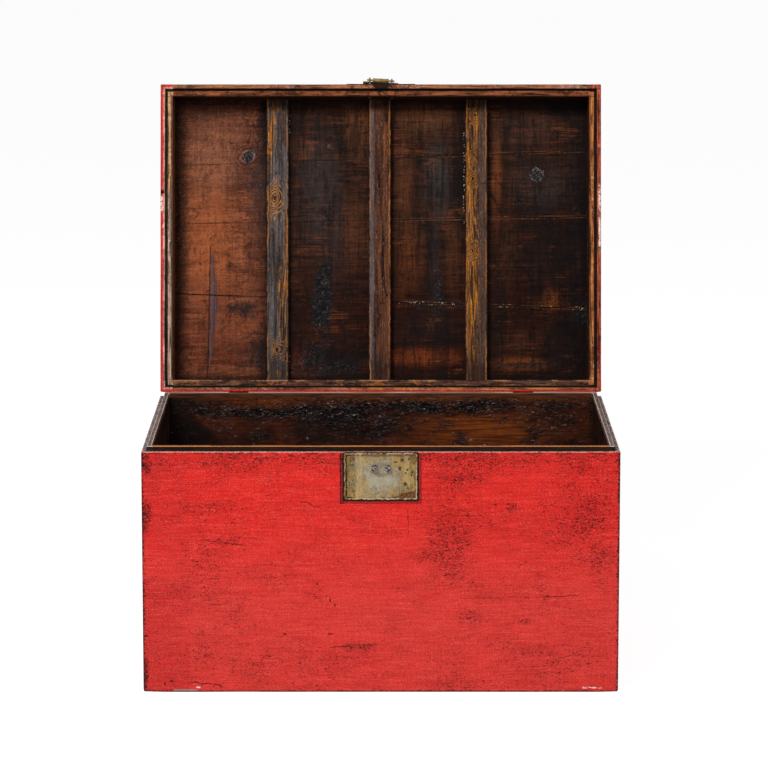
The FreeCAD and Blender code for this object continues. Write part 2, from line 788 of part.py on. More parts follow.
# --- the carcass ----------------------------------------------------------------------------------
def build_carcass():
    wall = size["base_wall"]
    front = cross_board("base_front_board", False, wall, ZERO, lip_top, BASE_FINGERS)
    back = cross_board("base_back_board", True, wall, ZERO, lip_top, BASE_FINGERS)
    left = side_board("base_left_board", False, wall, ZERO, lip_top, BASE_FINGERS)
    right = side_board("base_right_board", True, wall, ZERO, lip_top, BASE_FINGERS)
    for board in (front, back, left, right):
        cut_ledge(board)
        seat = size["bottom_thickness"]
        cut_inside(board, "plank_seat", bottom_reach_x, bottom_reach_y, ZERO, seat, True)
        round_edges(board, size["corner_round"], on_upright_corner)

    rows = bottom_peg_rows()
    spots = [spot for row in rows for spot in row]
    depth = size["peg_length"] - size["bottom_thickness"] + size["hole_end_gap"]
    for board, side in ((left, -1), (right, 1)):
        own = [spot for spot in spots if spot[0].value * side > 0]
        level = size["bottom_thickness"]
        drill(board, "XY_Plane", "peg_holes", own, size["peg_radius"], level, depth, True)
    for number, (edges, row) in enumerate(zip(bottom_plank_edges(), rows), start=1):
        plank = new_piece(f"bottom_plank_{number}")
        outline = sketch_on(plank, "XY_Plane", "outline")
        add_box(outline, -bottom_reach_x, bottom_reach_x, edges[0], edges[1])
        pad(plank, outline, size["bottom_thickness"])
        drill(plank, "XY_Plane", "peg_holes", row, size["peg_radius"])
    peg_group("bottom_pegs", spots, ZERO, downwards=False)

    let_in_plate(front, lower_plate_bottom, lower_plate_top, size["lower_plate_recess"])
    tang_holes(front)
    plate = lock_plate("lock_plate", lower_plate_bottom, lower_plate_top, lower_plate_back)
    tang_holes(plate)
    tacks = plate_tack_spots(lower_plate_bottom, lower_plate_top)
    headed_group("lock_plate_tacks", tacks, lower_plate_face, "tack", backwards=False)
    staple("staple_left", -1)
    staple("staple_right", 1)

    for side, place in hinge_places.items():
        base_hinge_leaf(f"hinge_{side}_base_leaf", place)
        hinge_pin(f"hinge_{side}_pin", place)
    nails = [spot for place in hinge_places.values() for spot in base_leaf_nails(place)]
    nail_holes_for_hinges(back, nails)
    headed_group("base_hinge_nails", nails, leaf_face, "hinge_nail", backwards=True)


# --- the lid ----------------------------------------------------------------------------------------
def build_lid():
    wall = size["lid_wall"]
    first = len(pieces)
    front = cross_board("lid_front_board", False, wall, lid_bottom, lid_top, LID_FINGERS)
    back = cross_board("lid_back_board", True, wall, lid_bottom, lid_top, LID_FINGERS)
    left = side_board("lid_left_board", False, wall, lid_bottom, lid_top, LID_FINGERS)
    right = side_board("lid_right_board", True, wall, lid_bottom, lid_top, LID_FINGERS)
    step_x = half_width - lid_lip
    step_y = half_depth - lid_lip
    for board in (front, back, left, right):
        cut_inside(board, "rim_step", step_x, step_y, lid_bottom, lid_step_top - lid_bottom, True)
        cut_inside(board, "seat", panel_reach_x, panel_reach_y, lid_top, size["lid_panel"], False)
        round_edges(board, size["corner_round"], on_lid_outline)

    radius = size["peg_radius"]
    end_pegs = []
    for number, edges in enumerate(lid_plank_edges(), start=1):
        front_left, front_right, back_left, back_right = edges
        own = lid_end_pegs(edges)
        end_pegs += own
        plank = new_piece(f"lid_plank_{number}")
        outline = sketch_on(plank, "XY_Plane", "outline", panel_face)
        add_outline(outline, [
            (-panel_reach_x, front_left), (panel_reach_x, front_right),
            (panel_reach_x, back_right), (-panel_reach_x, back_left),
        ])
        pad(plank, outline, size["lid_panel"])
        across = [batten_pegs_at(place)[number - 1] for place in batten_places.values()]
        drill(plank, "XY_Plane", "peg_holes", own + across, radius)
    depth = size["peg_length"] - size["lid_panel"] + size["hole_end_gap"]
    for board, side in ((left, -1), (right, 1)):
        own = [spot for spot in end_pegs if spot[0].value * side > 0]
        drill(board, "XY_Plane", "peg_holes", own, radius, panel_face, depth)
    peg_group("lid_pegs", end_pegs, lid_top, downwards=True)

    reach = half_depth - wall - size["batten_end_gap"]
    half_batten = size["batten_width"] / 2
    for side, place in batten_places.items():
        batten = new_piece(f"batten_{side}")
        outline = sketch_on(batten, "XY_Plane", "outline", panel_face - size["batten_thickness"])
        add_box(outline, place - half_batten, place + half_batten, -reach, reach)
        pad(batten, outline, size["batten_thickness"])
        drill(batten, "XY_Plane", "peg_holes", batten_pegs_at(place), radius, panel_face, depth)
    spots = [spot for place in batten_places.values() for spot in batten_pegs_at(place)]
    peg_group("batten_pegs", spots, lid_top, downwards=True)

    let_in_plate(front, upper_plate_bottom, upper_plate_top, size["upper_plate_recess"])
    drill(front, "XZ_Plane", "eye_holes", eye_spots, eye_shank)
    plate = lock_plate("lid_plate", upper_plate_bottom, upper_plate_top, upper_plate_back)
    drill(plate, "XZ_Plane", "eye_holes", eye_spots, eye_shank)
    tacks = plate_tack_spots(upper_plate_bottom, upper_plate_top)
    upper_face = upper_plate_back - size["plate_sheet"]
    headed_group("lid_plate_tacks", tacks, upper_face, "tack", backwards=False)
    hasp_eye("hasp_eye_left", -1)
    hasp_eye("hasp_eye_right", 1)

    for side, place in hinge_places.items():
        lid_hinge_leaf(f"hinge_{side}_lid_leaf", place)
    nails = [spot for place in hinge_places.values() for spot in lid_leaf_nails(place)]
    nail_holes_for_hinges(back, nails)
    headed_group("lid_hinge_nails", nails, leaf_face, "hinge_nail", backwards=True)
    for piece in pieces[first:]:
        piece.Placement = swung_open()


build_carcass()
build_lid()
hasp_leaf()
hasp_pin()

# --- check and write ----------------------------------------------------------------------------
doc.recompute()
for item in doc.Objects:
    if "Invalid" in item.State or "Error" in item.State:
        raise RuntimeError(f"{item.Name} could not be computed: {item.State}")
for piece in pieces:
    if piece.Shape.isNull() or not piece.Shape.isValid():
        raise RuntimeError(f"{piece.Label} has no valid shape")

os.makedirs("parts", exist_ok=True)
for piece in pieces:
    piece.Shape.exportStep(f"parts/{piece.Label}.step")
print(f"{len(pieces)} pieces written")
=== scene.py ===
"""A red lacquered storage trunk with its lid standing open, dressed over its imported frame.

Metres, +Z up, the front of the trunk towards -Y.  Finishes work in millimetres.  The finishes of
the lid first turn a place back to where it lies on the closed trunk.  Colours are written as they
are seen, with red, green and blue from 0 to 255.
"""
import math
from functools import reduce

import bmesh
import bpy
from mathutils import Euler, Matrix, Vector, noise


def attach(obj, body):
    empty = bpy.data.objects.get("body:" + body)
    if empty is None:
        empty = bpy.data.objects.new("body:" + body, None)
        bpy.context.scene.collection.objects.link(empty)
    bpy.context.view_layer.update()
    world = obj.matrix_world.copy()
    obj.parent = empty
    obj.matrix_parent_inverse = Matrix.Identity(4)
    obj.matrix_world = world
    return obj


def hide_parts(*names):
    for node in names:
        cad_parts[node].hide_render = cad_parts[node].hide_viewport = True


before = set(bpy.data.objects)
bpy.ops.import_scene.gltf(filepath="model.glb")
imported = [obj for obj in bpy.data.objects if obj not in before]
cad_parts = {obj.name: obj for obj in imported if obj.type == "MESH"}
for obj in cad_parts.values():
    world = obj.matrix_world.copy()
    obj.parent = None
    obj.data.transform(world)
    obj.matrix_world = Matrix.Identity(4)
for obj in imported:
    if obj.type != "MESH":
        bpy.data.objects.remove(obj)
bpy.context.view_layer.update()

MM = 0.001
HALF_WIDTH = 450
HALF_DEPTH = 314
LEDGE = 464                          # heights on the closed trunk, from the floor
LIP_TOP = 473
LID_RIM = 464.4
LID_STEP = 474
BATTEN_FACE = 541.4
PANEL = 565.4
LID_TOP = 579.4
LEDGE_WIDTH = 10                     # widths from the outer face inwards
WALL = 19
LID_RIM_WIDTH = 9.4
LID_WALL = 24
REBATE = 12                          # depth of the rebates that hold the planks
PLANK_SPAN = 876
LID_JOINTS = ((160, 128), (280, 264), (424, 456))        # from the front, left and right
PLATE_HALF = (70, 46)                # half the width and height of the brass plates
LOCK_PLATE_Z = 417.2
LID_PLATE_Z = 511.2
BACK = (280, 290)                    # depths between which a finish turns into that of the back
HINGES = (-291, 291)
LEAF_FACE = 316.2                    # the outer face of the hinge leaves
HINGE = Vector((0, 0.3195, 0.466))
OPEN = math.radians(100.1)
SWING = Matrix.Translation(HINGE) @ Matrix.Rotation(-OPEN, 4, "X") @ Matrix.Translation(-HINGE)


def tone(colour):
    """A colour as it is seen, turned into the values that a shader takes."""
    def linear(value):
        value /= 255
        return value / 12.92 if value <= 0.04045 else ((value + 0.055) / 1.055) ** 2.4
    return (*map(linear, colour), 1)


# --- finishes: one small class for sums on sockets, one for a material ---------------------------
class Flow:
    """A value in a node tree.  A sum written on it adds the Math nodes that work it out."""

    def __init__(self, nodes, socket):
        self.nodes = nodes
        self.socket = socket

    def sum(self, operation, *others):
        """One step of arithmetic on this value."""
        return self.nodes.node("ShaderNodeMath", {"operation": operation}, self, *others)

    def __add__(self, other):
        return self.sum("ADD", other)

    def __sub__(self, other):
        return self.sum("SUBTRACT", other)

    def __mul__(self, other):
        return self.sum("MULTIPLY", other)

    def __truediv__(self, other):
        return self.sum("DIVIDE", other)

    def __neg__(self):
        return self.sum("MULTIPLY", -1)

    def __rsub__(self, other):
        return self.nodes.node("ShaderNodeMath", {"operation": "SUBTRACT"}, other, self)

    __radd__ = __add__
    __rmul__ = __mul__

    def size(self):
        return self.sum("ABSOLUTE")

    def least(self, other):
        return self.sum("MINIMUM", other)

    def most(self, other):
        return self.sum("MAXIMUM", other)

    def rise(self, low, high):
        """0 below the lower limit, 1 above the upper one, and a smooth step between."""
        settings = {"interpolation_type": "SMOOTHSTEP"}
        return self.nodes.node("ShaderNodeMapRange", settings, self, low, high, 0, 1)

    def fall(self, low, high):
        return 1 - self.rise(low, high)

    def within(self, low, high, soft):
        """1 between the limits, fading to 0 over the soft width outside them."""
        return self.rise(low - soft, low) * self.fall(high, high + soft)


class Nodes:
    """A node tree in the making."""

    def __init__(self, tree):
        self.tree = tree
        self.tree.nodes.clear()

    def feed(self, socket, value):
        """Link a value to a socket, or set the socket to it; None leaves the socket alone."""
        if isinstance(value, Flow):
            self.tree.links.new(value.socket, socket)
        elif value is not None:
            socket.default_value = value

    def node(self, kind, settings=None, *values, out=0, **named):
        """Add a node: its settings first, then its sockets in order, then sockets by name."""
        node = self.tree.nodes.new(kind)
        for setting, value in (settings or {}).items():
            setattr(node, setting, value)
        for index, value in enumerate(values):
            self.feed(node.inputs[index], value)
        for name, value in named.items():
            self.feed(node.inputs[name.replace("_", " ")], value)
        return Flow(self, node.outputs[out]) if node.outputs else None

    def moved(self, vector, operation, amount):
        """A vector or colour after one step of vector arithmetic."""
        return self.node("ShaderNodeVectorMath", {"operation": operation}, vector, amount)

    def seen_directly(self):
        """1 where the eye, a mirror or glass sees the surface, 0 for light that falls on things."""
        kinds = ("Is Camera Ray", "Is Glossy Ray", "Is Transmission Ray")
        camera, glossy, through = (self.node("ShaderNodeLightPath", out=kind) for kind in kinds)
        return camera.most(glossy).most(through)


class Paint(Nodes):
    """A material in the making, with the place on the piece in millimetres."""

    def __init__(self, name, on_lid=False):
        self.material = bpy.data.materials.new(name)
        self.material.use_nodes = True
        super().__init__(self.material.node_tree)
        place = self.node("ShaderNodeTexCoord", out="Object")
        if on_lid:
            back = -(Matrix.Rotation(OPEN, 3, "X") @ HINGE) + HINGE
            place = self.node("ShaderNodeMapping", None, place, tuple(back), (OPEN, 0, 0))
        self.place = self.stretch(place, 1 / MM)
        self.x, self.y, self.z = (self.part(index) for index in range(3))
        self.colour = None

    def part(self, index):
        """One coordinate of the place: 0 for X, 1 for Y, 2 for Z."""
        return self.node("ShaderNodeSeparateXYZ", None, self.place, out=index)

    @property
    def h(self):
        """How far a place is from the hinges, which is up on the open lid."""
        return HALF_DEPTH - self.y

    def stretch(self, vector, amount):
        """A place made larger or finer, by an amount for each axis or by one for all of them."""
        fine = amount if isinstance(amount, tuple) else (amount,) * 3
        return self.moved(vector, "MULTIPLY", fine)

    def shifted(self, vector, amount, by):
        """The place moved about by a cloudy amount, so that a pattern on it wanders."""
        cloud = self.node("ShaderNodeTexNoise", None, self.stretch(vector, by), out="Color",
                          Scale=1, Detail=2)
        push = self.stretch(self.moved(cloud, "SUBTRACT", (0.5,) * 3), amount)
        return self.moved(vector, "ADD", push)

    def cloud(self, per_mm, detail=3, roughness=0.5, distortion=0, seed=0):
        """Noise with a fineness for each axis, or one fineness for all of them."""
        spot = self.stretch(self.place, per_mm)
        return self.node("ShaderNodeTexNoise", {"noise_dimensions": "4D"}, spot, seed, 1, detail,
                         roughness, Distortion=distortion)

    def cells(self, per_mm, seed, place):
        """The distance to the nearest border between irregular cells."""
        settings = {"voronoi_dimensions": "4D", "feature": "DISTANCE_TO_EDGE"}
        return self.node("ShaderNodeTexVoronoi", settings, self.stretch(place, per_mm), seed, 1,
                         out="Distance")

    def mix(self, factor, *pair):
        """The first colour where the factor is 0, the second where it is 1."""
        settings = {"data_type": "RGBA", "clamp_factor": True}
        between = (None,) * 5
        pair = (tone(colour) if isinstance(colour, tuple) else colour for colour in pair)
        return self.node("ShaderNodeMix", settings, factor, *between, *pair, out=2)

    def lay(self, mask, colour):
        """Cover the finish with a colour where the mask is 1."""
        self.colour = self.mix(mask, self.colour, colour)

    def dim(self, factor):
        """Multiply the light of the finish by a value."""
        grey = self.node("ShaderNodeCombineXYZ", None, factor, factor, factor)
        self.colour = self.moved(self.colour, "MULTIPLY", grey)

    def distance(self, across, up):
        """How far a place is from a point, from its two steps away."""
        return (across * across + up * up).sum("SQRT")

    def spot(self, across, up, at, reach, soft=0.5, ragged=None):
        """An oval mask about a point, 1 inside and ragged at its edge where a noise is given."""
        far = self.distance((across - at[0]) / reach[0], (up - at[1]) / reach[1])
        if ragged is not None:
            far = far + (ragged - 0.5) * 3.4
        return far.fall(1 - soft, 1 + soft)

    def spots(self, across, up, places, soft, ragged):
        """The strongest of several oval masks, each with its middle, reach and strength."""
        masks = [self.spot(across, up, at, reach, soft, ragged) * strength
                 for at, reach, strength in places]
        return reduce(Flow.most, masks)

    def stroke(self, across, up, start, end, width, soft=0.6, wander=None):
        """A mask along a straight stroke between two points."""
        run = (end[0] - start[0], end[1] - start[1])
        length = math.hypot(*run)
        ux, uy = run[0] / length, run[1] / length
        along = (across - start[0]) * ux + (up - start[1]) * uy
        aside = (up - start[1]) * ux - (across - start[0]) * uy
        if wander is not None:
            aside = aside + wander
        return aside.size().fall(width - soft, width + soft) * along.within(0, length, 3)

    def finish(self, roughness, height, strength, depth, metallic=0, specular=0.2):
        """Close the material with its gloss and with a relief of the given strength and depth."""
        relief = self.node("ShaderNodeBump", Height=height, Strength=strength, Distance=depth)
        shader = self.node("ShaderNodeBsdfPrincipled", Base_Color=self.colour, Metallic=metallic,
                           Roughness=roughness, Normal=relief, Specular_IOR_Level=specular)
        self.node("ShaderNodeOutputMaterial", None, shader)
        return self.material


CLUSTERS = (
    # places on the front where the lacquer is peppered with black: middle, reach, amount
    ((-442, 440), (9, 18), 0.32),
    ((-442, 338), (9, 28), 0.30),
    ((-445, 40), (5, 34), 0.24),
    ((-424, 420), (20, 24), 0.10),
    ((-190, 451), (250, 13), 0.13),
    ((-300, 430), (60, 20), 0.08),
    ((200, 452), (190, 13), 0.12),
    ((168, 430), (46, 34), 0.10),
    ((146, 385), (46, 44), 0.11),
    ((122, 320), (40, 54), 0.10),
    ((128, 255), (50, 40), 0.10),
    ((415, 440), (40, 26), 0.13),
    ((385, 370), (52, 46), 0.12),
    ((384, 285), (44, 60), 0.13),
    ((246.8, 358.3), (9, 7), 0.26),
    ((-355, 365), (40, 36), 0.10),
    ((-300, 278), (60, 56), 0.07),
    ((-330, 230), (30, 60), 0.05),
    ((-38, 89), (32, 7), 0.22),
    ((-230, 45), (150, 44), 0.06),
    ((160, 16), (60, 12), 0.10),
    ((168, 146), (22, 15), 0.16),
    ((276, 137), (16, 5), 0.18),
    ((90, 262), (24, 12), 0.12),
    ((330, 60), (60, 44), 0.08),
)
CRACKS = (
    # cracks in the lacquer of the front: start, end, half width
    ((-336.9, 296), (-262, 284), 0.9),
    ((-150, 368), (-114.4, 358), 0.8),
    ((-359.9, 20.1), (-301.1, 13.3), 1.1),
    ((150, 183), (330, 186), 0.3),
    ((318, 186), (372, 189), 0.7),
    ((-95, 88), (-16.7, 94), 0.8),
    ((339.3, 66), (372, 78), 0.6),
    ((51.2, 352), (51.2, 305), 0.5),
)
KNOCKS = (
    # small knocks on the front: middle, reach
    ((-96, 179.2), (1.5, 3.6)), ((-86.5, 169.5), (1.4, 3.2)),
    ((-181.2, 113.4), (4, 1.5)), ((-96.1, 113.4), (4.6, 1.5)),
    ((-446.2, 109.5), (6, 2)), ((-395.9, 22), (3.4, 1.7)),
    ((-409.2, 16.2), (1.6, 2.6)), ((-260, 355), (2, 1.4)),
)


def red_lacquer(on_lid):
    """Red lacquer brushed on by hand, peppered with black and rubbed through at its edges."""
    paint = Paint("red_lacquer_lid" if on_lid else "red_lacquer_carcass", on_lid)
    x, y, z = paint.x, paint.y, paint.z
    low, high = (LID_RIM, LID_TOP) if on_lid else (0, LEDGE)
    seed = 7 if on_lid else 0
    front = y.fall(-HALF_DEPTH + 2, -HALF_DEPTH + 6)

    brush = paint.cloud((0.006, 0.006, 0.060), 6, 0.72, 1.2, seed)
    streaks = paint.cloud((0.016, 0.016, 0.30), 5, 0.70, 0.5, seed + 1)
    upright = paint.cloud((0.30, 0.30, 0.020), 5, 0.70, 0.3, seed + 2)
    cloud = paint.cloud(0.007, 5, 0.62, 0.8, seed + 3)
    patch = paint.cloud((0.018, 0.018, 0.030), 5, 0.70, 1, seed + 4)
    grit = paint.cloud(0.42, 3, 0.70, 0.4, seed + 12)

    lower = 0.35 if on_lid else z.fall(high * 0.30, high * 0.80)
    bright = paint.mix(brush.rise(0.36, 0.64), (198, 33, 27), (208, 37, 31))
    faded = paint.mix(brush.rise(0.34, 0.66), (194, 50, 44), (203, 55, 49))
    paint.colour = paint.mix(lower, bright, faded)
    paint.lay(cloud.rise(0.50, 0.70) * 0.35, (182, 34, 30))
    paint.lay(patch.rise(0.54, 0.72) * 0.30, (214, 62, 52))
    if not on_lid:
        left_end = x.fall(-364, -358) * front
        side_brush = upright.rise(0.40, 0.62) * 0.4 + cloud.rise(0.4, 0.6) * 0.3
        paint.lay(left_end * side_brush, (172, 30, 30))
    strokes = paint.cloud((0.010, 0.010, 0.11), 5, 0.72, 1, seed + 14)
    paint.lay(strokes.fall(0.30, 0.47) * 0.42, (160, 24, 22))
    paint.lay(strokes.rise(0.53, 0.68) * 0.35, (222, 64, 54))
    weave = (upright - 0.5) * 0.45 + (streaks - 0.5) * 1.2 + (grit - 0.5) * 2
    paint.lay(weave.rise(0.06, 0.34) * 0.60, (226, 90, 82))
    paint.lay(weave.fall(-0.36, -0.04) * 0.60, (162, 20, 18))

    # black that shows through: scrawled hair lines, pepper in clusters, and short dashes
    cluster = paint.cloud((0.012, 0.012, 0.017), 4, 0.66, 0.5, seed + 5)
    dense = (cluster - 0.5) * 0.55
    if not on_lid:
        for at, reach, amount in CLUSTERS:
            dense = dense + paint.spot(x, z, at, reach, 0.9) * front * amount
    dense = dense.least(0.15 + x.fall(-440, -430) * 0.10).most(-0.05)
    scrawl = paint.cloud((0.06, 0.06, 0.24), 4, 0.72, 1.8, seed + 6)
    line = scrawl.within(0.485, 0.50, 0.014) * (dense + patch).rise(0.44, 0.60)
    pepper = paint.cloud((0.19, 0.19, 0.44), 3, 0.66, 1.5, seed + 8)
    peppered = (pepper + dense * 0.60).rise(0.622, 0.652)
    dusted = (pepper + dense * 0.50).rise(0.560, 0.640)
    dashes = paint.cloud((0.05, 0.05, 0.50), 3, 0.70, 0.8, seed + 9)
    dashed = (dashes + dense * 0.3).rise(0.630, 0.69) * 0.75
    ticks = paint.cloud((0.50, 0.50, 0.06), 3, 0.70, 0.6, seed + 13)
    ticked = (ticks + dense * 0.25).rise(0.640, 0.70) * 0.5
    black = peppered.most(dashed).most(ticked)

    # edges rubbed through
    corner = (HALF_WIDTH - x.size()).most(HALF_DEPTH - y.size())
    fray = paint.cloud(0.20, 4, 0.72, 0.8, seed + 11)
    corner_wear = (corner + (fray - 0.5) * 32).fall(2, 3.6)
    foot_wear = ((z - low) + (fray - 0.5) * 14).fall(2.4, 3.8)
    foot_corner = (corner + z - low + (fray - 0.5) * 20).fall(8, 11)
    worn = corner_wear.most(foot_wear).most(foot_corner)
    paint.lay((line * 0.55).most(dusted * 0.38), (122, 24, 22))
    paint.lay(black * 0.94, (26, 9, 8))
    paint.lay(worn * 0.92, (26, 14, 12))
    if not on_lid:
        top = (high - z) + (fray - 0.5) * 10
        paint.lay(top.within(2.6, 4.4, 0.8) * patch.rise(0.44, 0.54) * 0.7, (48, 14, 12))
        paint.lay(top.fall(0.8, 2.4) * 0.7, (206, 132, 120))
        front_marks(paint, front, fray)
    roughness = 0.42 + brush * 0.12 + black * 0.2 + worn * 0.15
    height = streaks * 0.3 + upright * 0.2 + grit * 0.2 - black * 0.6 - worn * 0.3
    return paint.finish(roughness, height, 0.5, 0.0005, specular=0.10)


def front_marks(paint, front, fray):
    """Marks on the front alone: the dark gap about the plate, cracks, and chips at the foot."""
    x, z = paint.x, paint.z
    half_width, half_height = PLATE_HALF
    about_plate = (x.size() - half_width).most((z - LOCK_PLATE_Z).size() - half_height)
    ragged = about_plate + (fray - 0.5) * 6
    outer = ragged.within(4, 6.4, 0.7) * (x.fall(-70, -66) * 0.3 + 0.65)
    gap = ragged.within(-4, 2.4, 0.7).most(outer) * z.fall(LEDGE - 4, LEDGE - 1)
    paint.lay(gap * front * 0.96, (14, 8, 7))
    wander = (paint.cloud(0.05, 3, 0.6, 0, 21) - 0.5) * 12
    for start, end, width in CRACKS:
        mark = paint.stroke(x, z, start, end, width, 0.5, wander)
        paint.lay(mark * front * 0.85, (40, 16, 14))
    for at, reach in KNOCKS:
        mark = paint.spot(x, z, at, reach, 0.35, fray)
        paint.lay(mark * front * 0.9, (34, 15, 13))
    chips = paint.cloud((0.10, 0.1, 0.3), 3, 0.6, 0.6, 22).rise(0.46, 0.52)
    right_chips = x.within(384, 418, 2) * z.within(8.2, 10.6, 1)
    paint.lay(right_chips * front * chips, (232, 190, 182))
    left_chip = paint.spot(x, z, (-346, 9.8), (4, 1.5), 0.3)
    paint.lay(left_chip * front, (226, 200, 190))
    grey_strip = x.within(-391, -350, 4) * z.within(3.4, 5.6, 0.8)
    paint.lay(grey_strip * front * 0.9, (132, 122, 118))


def carcass_rim():
    """The ledge and the standing lip: grey mottled paint, bare wood along the arrises."""
    paint = Paint("carcass_rim")
    x, y, z = paint.x, paint.y, paint.z
    inward = (HALF_WIDTH - x.size()).least(HALF_DEPTH - y.size())
    at_side = (HALF_WIDTH - x.size()).fall(20, 22)
    fray = paint.cloud(0.12, 4, 0.65, 0.5, 31)
    mottle = paint.cloud(0.17, 4, 0.68, 1, 32)
    streak = paint.cloud((0.02, 0.02, 0.2), 4, 0.6, 0.4, 33)
    edge = inward + (fray - 0.5) * 3.4

    ledge = paint.mix(mottle.rise(0.36, 0.62), (26, 22, 19), (98, 90, 80))
    ledge = paint.mix(at_side * 0.75, ledge,
                      paint.mix(mottle.rise(0.44, 0.56), (22, 18, 17), (166, 160, 156)))
    flecks = paint.cloud(0.34, 3, 0.6, 0.8, 34)
    ledge = paint.mix(flecks.rise(0.58, 0.64) * 0.9, ledge, (12, 9, 8))
    ledge = paint.mix(flecks.fall(0.35, 0.40) * (0.3 + at_side * 0.6), ledge, (220, 212, 206))
    lip = paint.mix(streak.rise(0.35, 0.65), (58, 30, 18), (150, 88, 48))
    lip = paint.mix(at_side * 0.85, lip,
                    paint.mix(mottle.rise(0.44, 0.58), (34, 24, 22), (150, 128, 122)))
    at_back = (1 - at_side) * y.rise(*BACK)
    lip = paint.mix(at_back * 0.75, lip, (30, 17, 11))
    paint.colour = paint.mix(inward.rise(8.6, 9.8), ledge, lip)
    # painted shade on the lip's upright face and in the corner at its foot, where the wood is also
    # stained dark
    step = inward.within(8, 10.2, 0.4) * z.fall(LIP_TOP - 1.4, LIP_TOP - 0.4)
    paint.lay(step * 0.94, (10, 6, 5))
    lip_edge = edge.within(9.8, 11.2, 0.5) + edge.within(17.6, 20, 0.5)
    edge_tone = paint.mix(at_side * 0.8, (204, 128, 72), (206, 196, 190))
    paint.lay(lip_edge * z.rise(LIP_TOP - 1.6, LIP_TOP - 0.5) * (0.85 - at_back * 0.5), edge_tone)
    arris = edge.fall(1, 2.4)
    paint.lay(arris * 0.9, paint.mix(mottle.rise(0.40, 0.58), (180, 60, 52), (206, 158, 146)))
    height = mottle * 0.7 + flecks * 0.3
    return paint.finish(0.55 + mottle * 0.2, height, 0.6, 0.0006, specular=0.08)


def old_varnish(paint, thick, edge, scale, gloss):
    """Brown wood under old varnish that has run thick, turned black and shrunk into scales."""
    scales = paint.cells(0.13, 41, paint.shifted(paint.place, 9, 0.10))
    lustre = paint.cloud(0.16, 3, 0.66, 0.6, 42)
    top = scales.rise(0.04, 0.30)
    # paler tops on the scales against their dark edges: painted sheen on the varnish
    skin = paint.mix(top * lustre.rise(0.44, 0.60), edge, scale)
    # painted glints: grey along the ridges of the scales, near white on their tops
    gleam = paint.cloud((0.07, 0.07, 0.22), 4, 0.74, 1.2, 43)
    ridge = scales.within(0.05, 0.26, 0.06)
    skin = paint.mix(gleam.rise(0.50, 0.62) * ridge * gloss * 0.32, skin, (132, 116, 112))
    skin = paint.mix(gleam.rise(0.595, 0.635) * top * gloss, skin, (186, 178, 180))
    paint.lay(thick, skin)
    return 0.66 - thick * 0.24, top * thick


WARM_PLACES = (
    # on the back of the carcass: middle, reach, strength
    ((-240, 452), (70, 22), 1),
    ((215, 402), (120, 36), 1),
    ((120, 462), (330, 9), 1),
)
VARNISH_BAND = (
    ((80, 446), (330, 16), 1),
    ((-60, 428), (90, 36), 1),
    ((-230, 434), (170, 16), 1),
    ((345, 420), (60, 24), 0.8),
)


def carcass_inside():
    """The inside of the carcass: dark wood with orange patches and crackled black varnish."""
    paint = Paint("carcass_inside")
    x, y, z = paint.x, paint.y, paint.z
    grain = paint.cloud((0.010, 0.010, 0.30), 5, 0.62, 0.5, 51)
    fine = paint.cloud((0.03, 0.03, 1.1), 3, 0.6, 0.2, 52)
    patch = paint.cloud((0.008, 0.008, 0.02), 4, 0.6, 0.9, 53)
    smudge = paint.cloud((0.022, 0.022, 0.05), 4, 0.65, 0.8, 54)
    at_back = y.rise(*BACK)

    paint.colour = paint.mix(patch.rise(0.40, 0.62), (30, 13, 7), (80, 34, 14))
    paint.lay(grain.rise(0.45, 0.70) * 0.6, (18, 8, 5))
    warm = paint.spots(x, z, WARM_PLACES, 0.8, smudge)
    paint.lay(warm * at_back * 0.75,
              paint.mix(grain.rise(0.35, 0.65), (74, 28, 9), (152, 76, 24)))
    band = paint.spots(x, z, VARNISH_BAND, 0.9, smudge)
    thick = (smudge.rise(0.46, 0.64) * 0.7).most(band * at_back)
    roughness, relief = old_varnish(paint, thick, (6, 4, 3), (42, 32, 28), 0.95)
    paint.dim(0.16 + fine * 0.9 + smudge.rise(0.3, 0.7) * 0.5)
    # painted shadow of the left wall: a dark triangle low on the left of the back wall
    left_wall_shadow = (48 - x - z + (smudge - 0.5) * 24).rise(-6, 10)
    paint.lay(left_wall_shadow * at_back * 0.7, (6, 3, 2))
    side_wall = x.size().rise(420, 428)
    paint.lay(side_wall * 0.55, (14, 8, 6))
    crack = paint.stroke(x, z, (-254, 470), (-252, 448), 1, 0.6)
    paint.lay(crack * at_back * 0.8, (8, 4, 3))
    floor_dust = z.fall(60, 200)
    paint.lay(floor_dust * 0.2, (56, 42, 34))
    height = relief * 1.4 + grain * 0.15 + fine * 0.1
    return paint.finish(roughness, height, 0.8, 0.0014, specular=0.06)


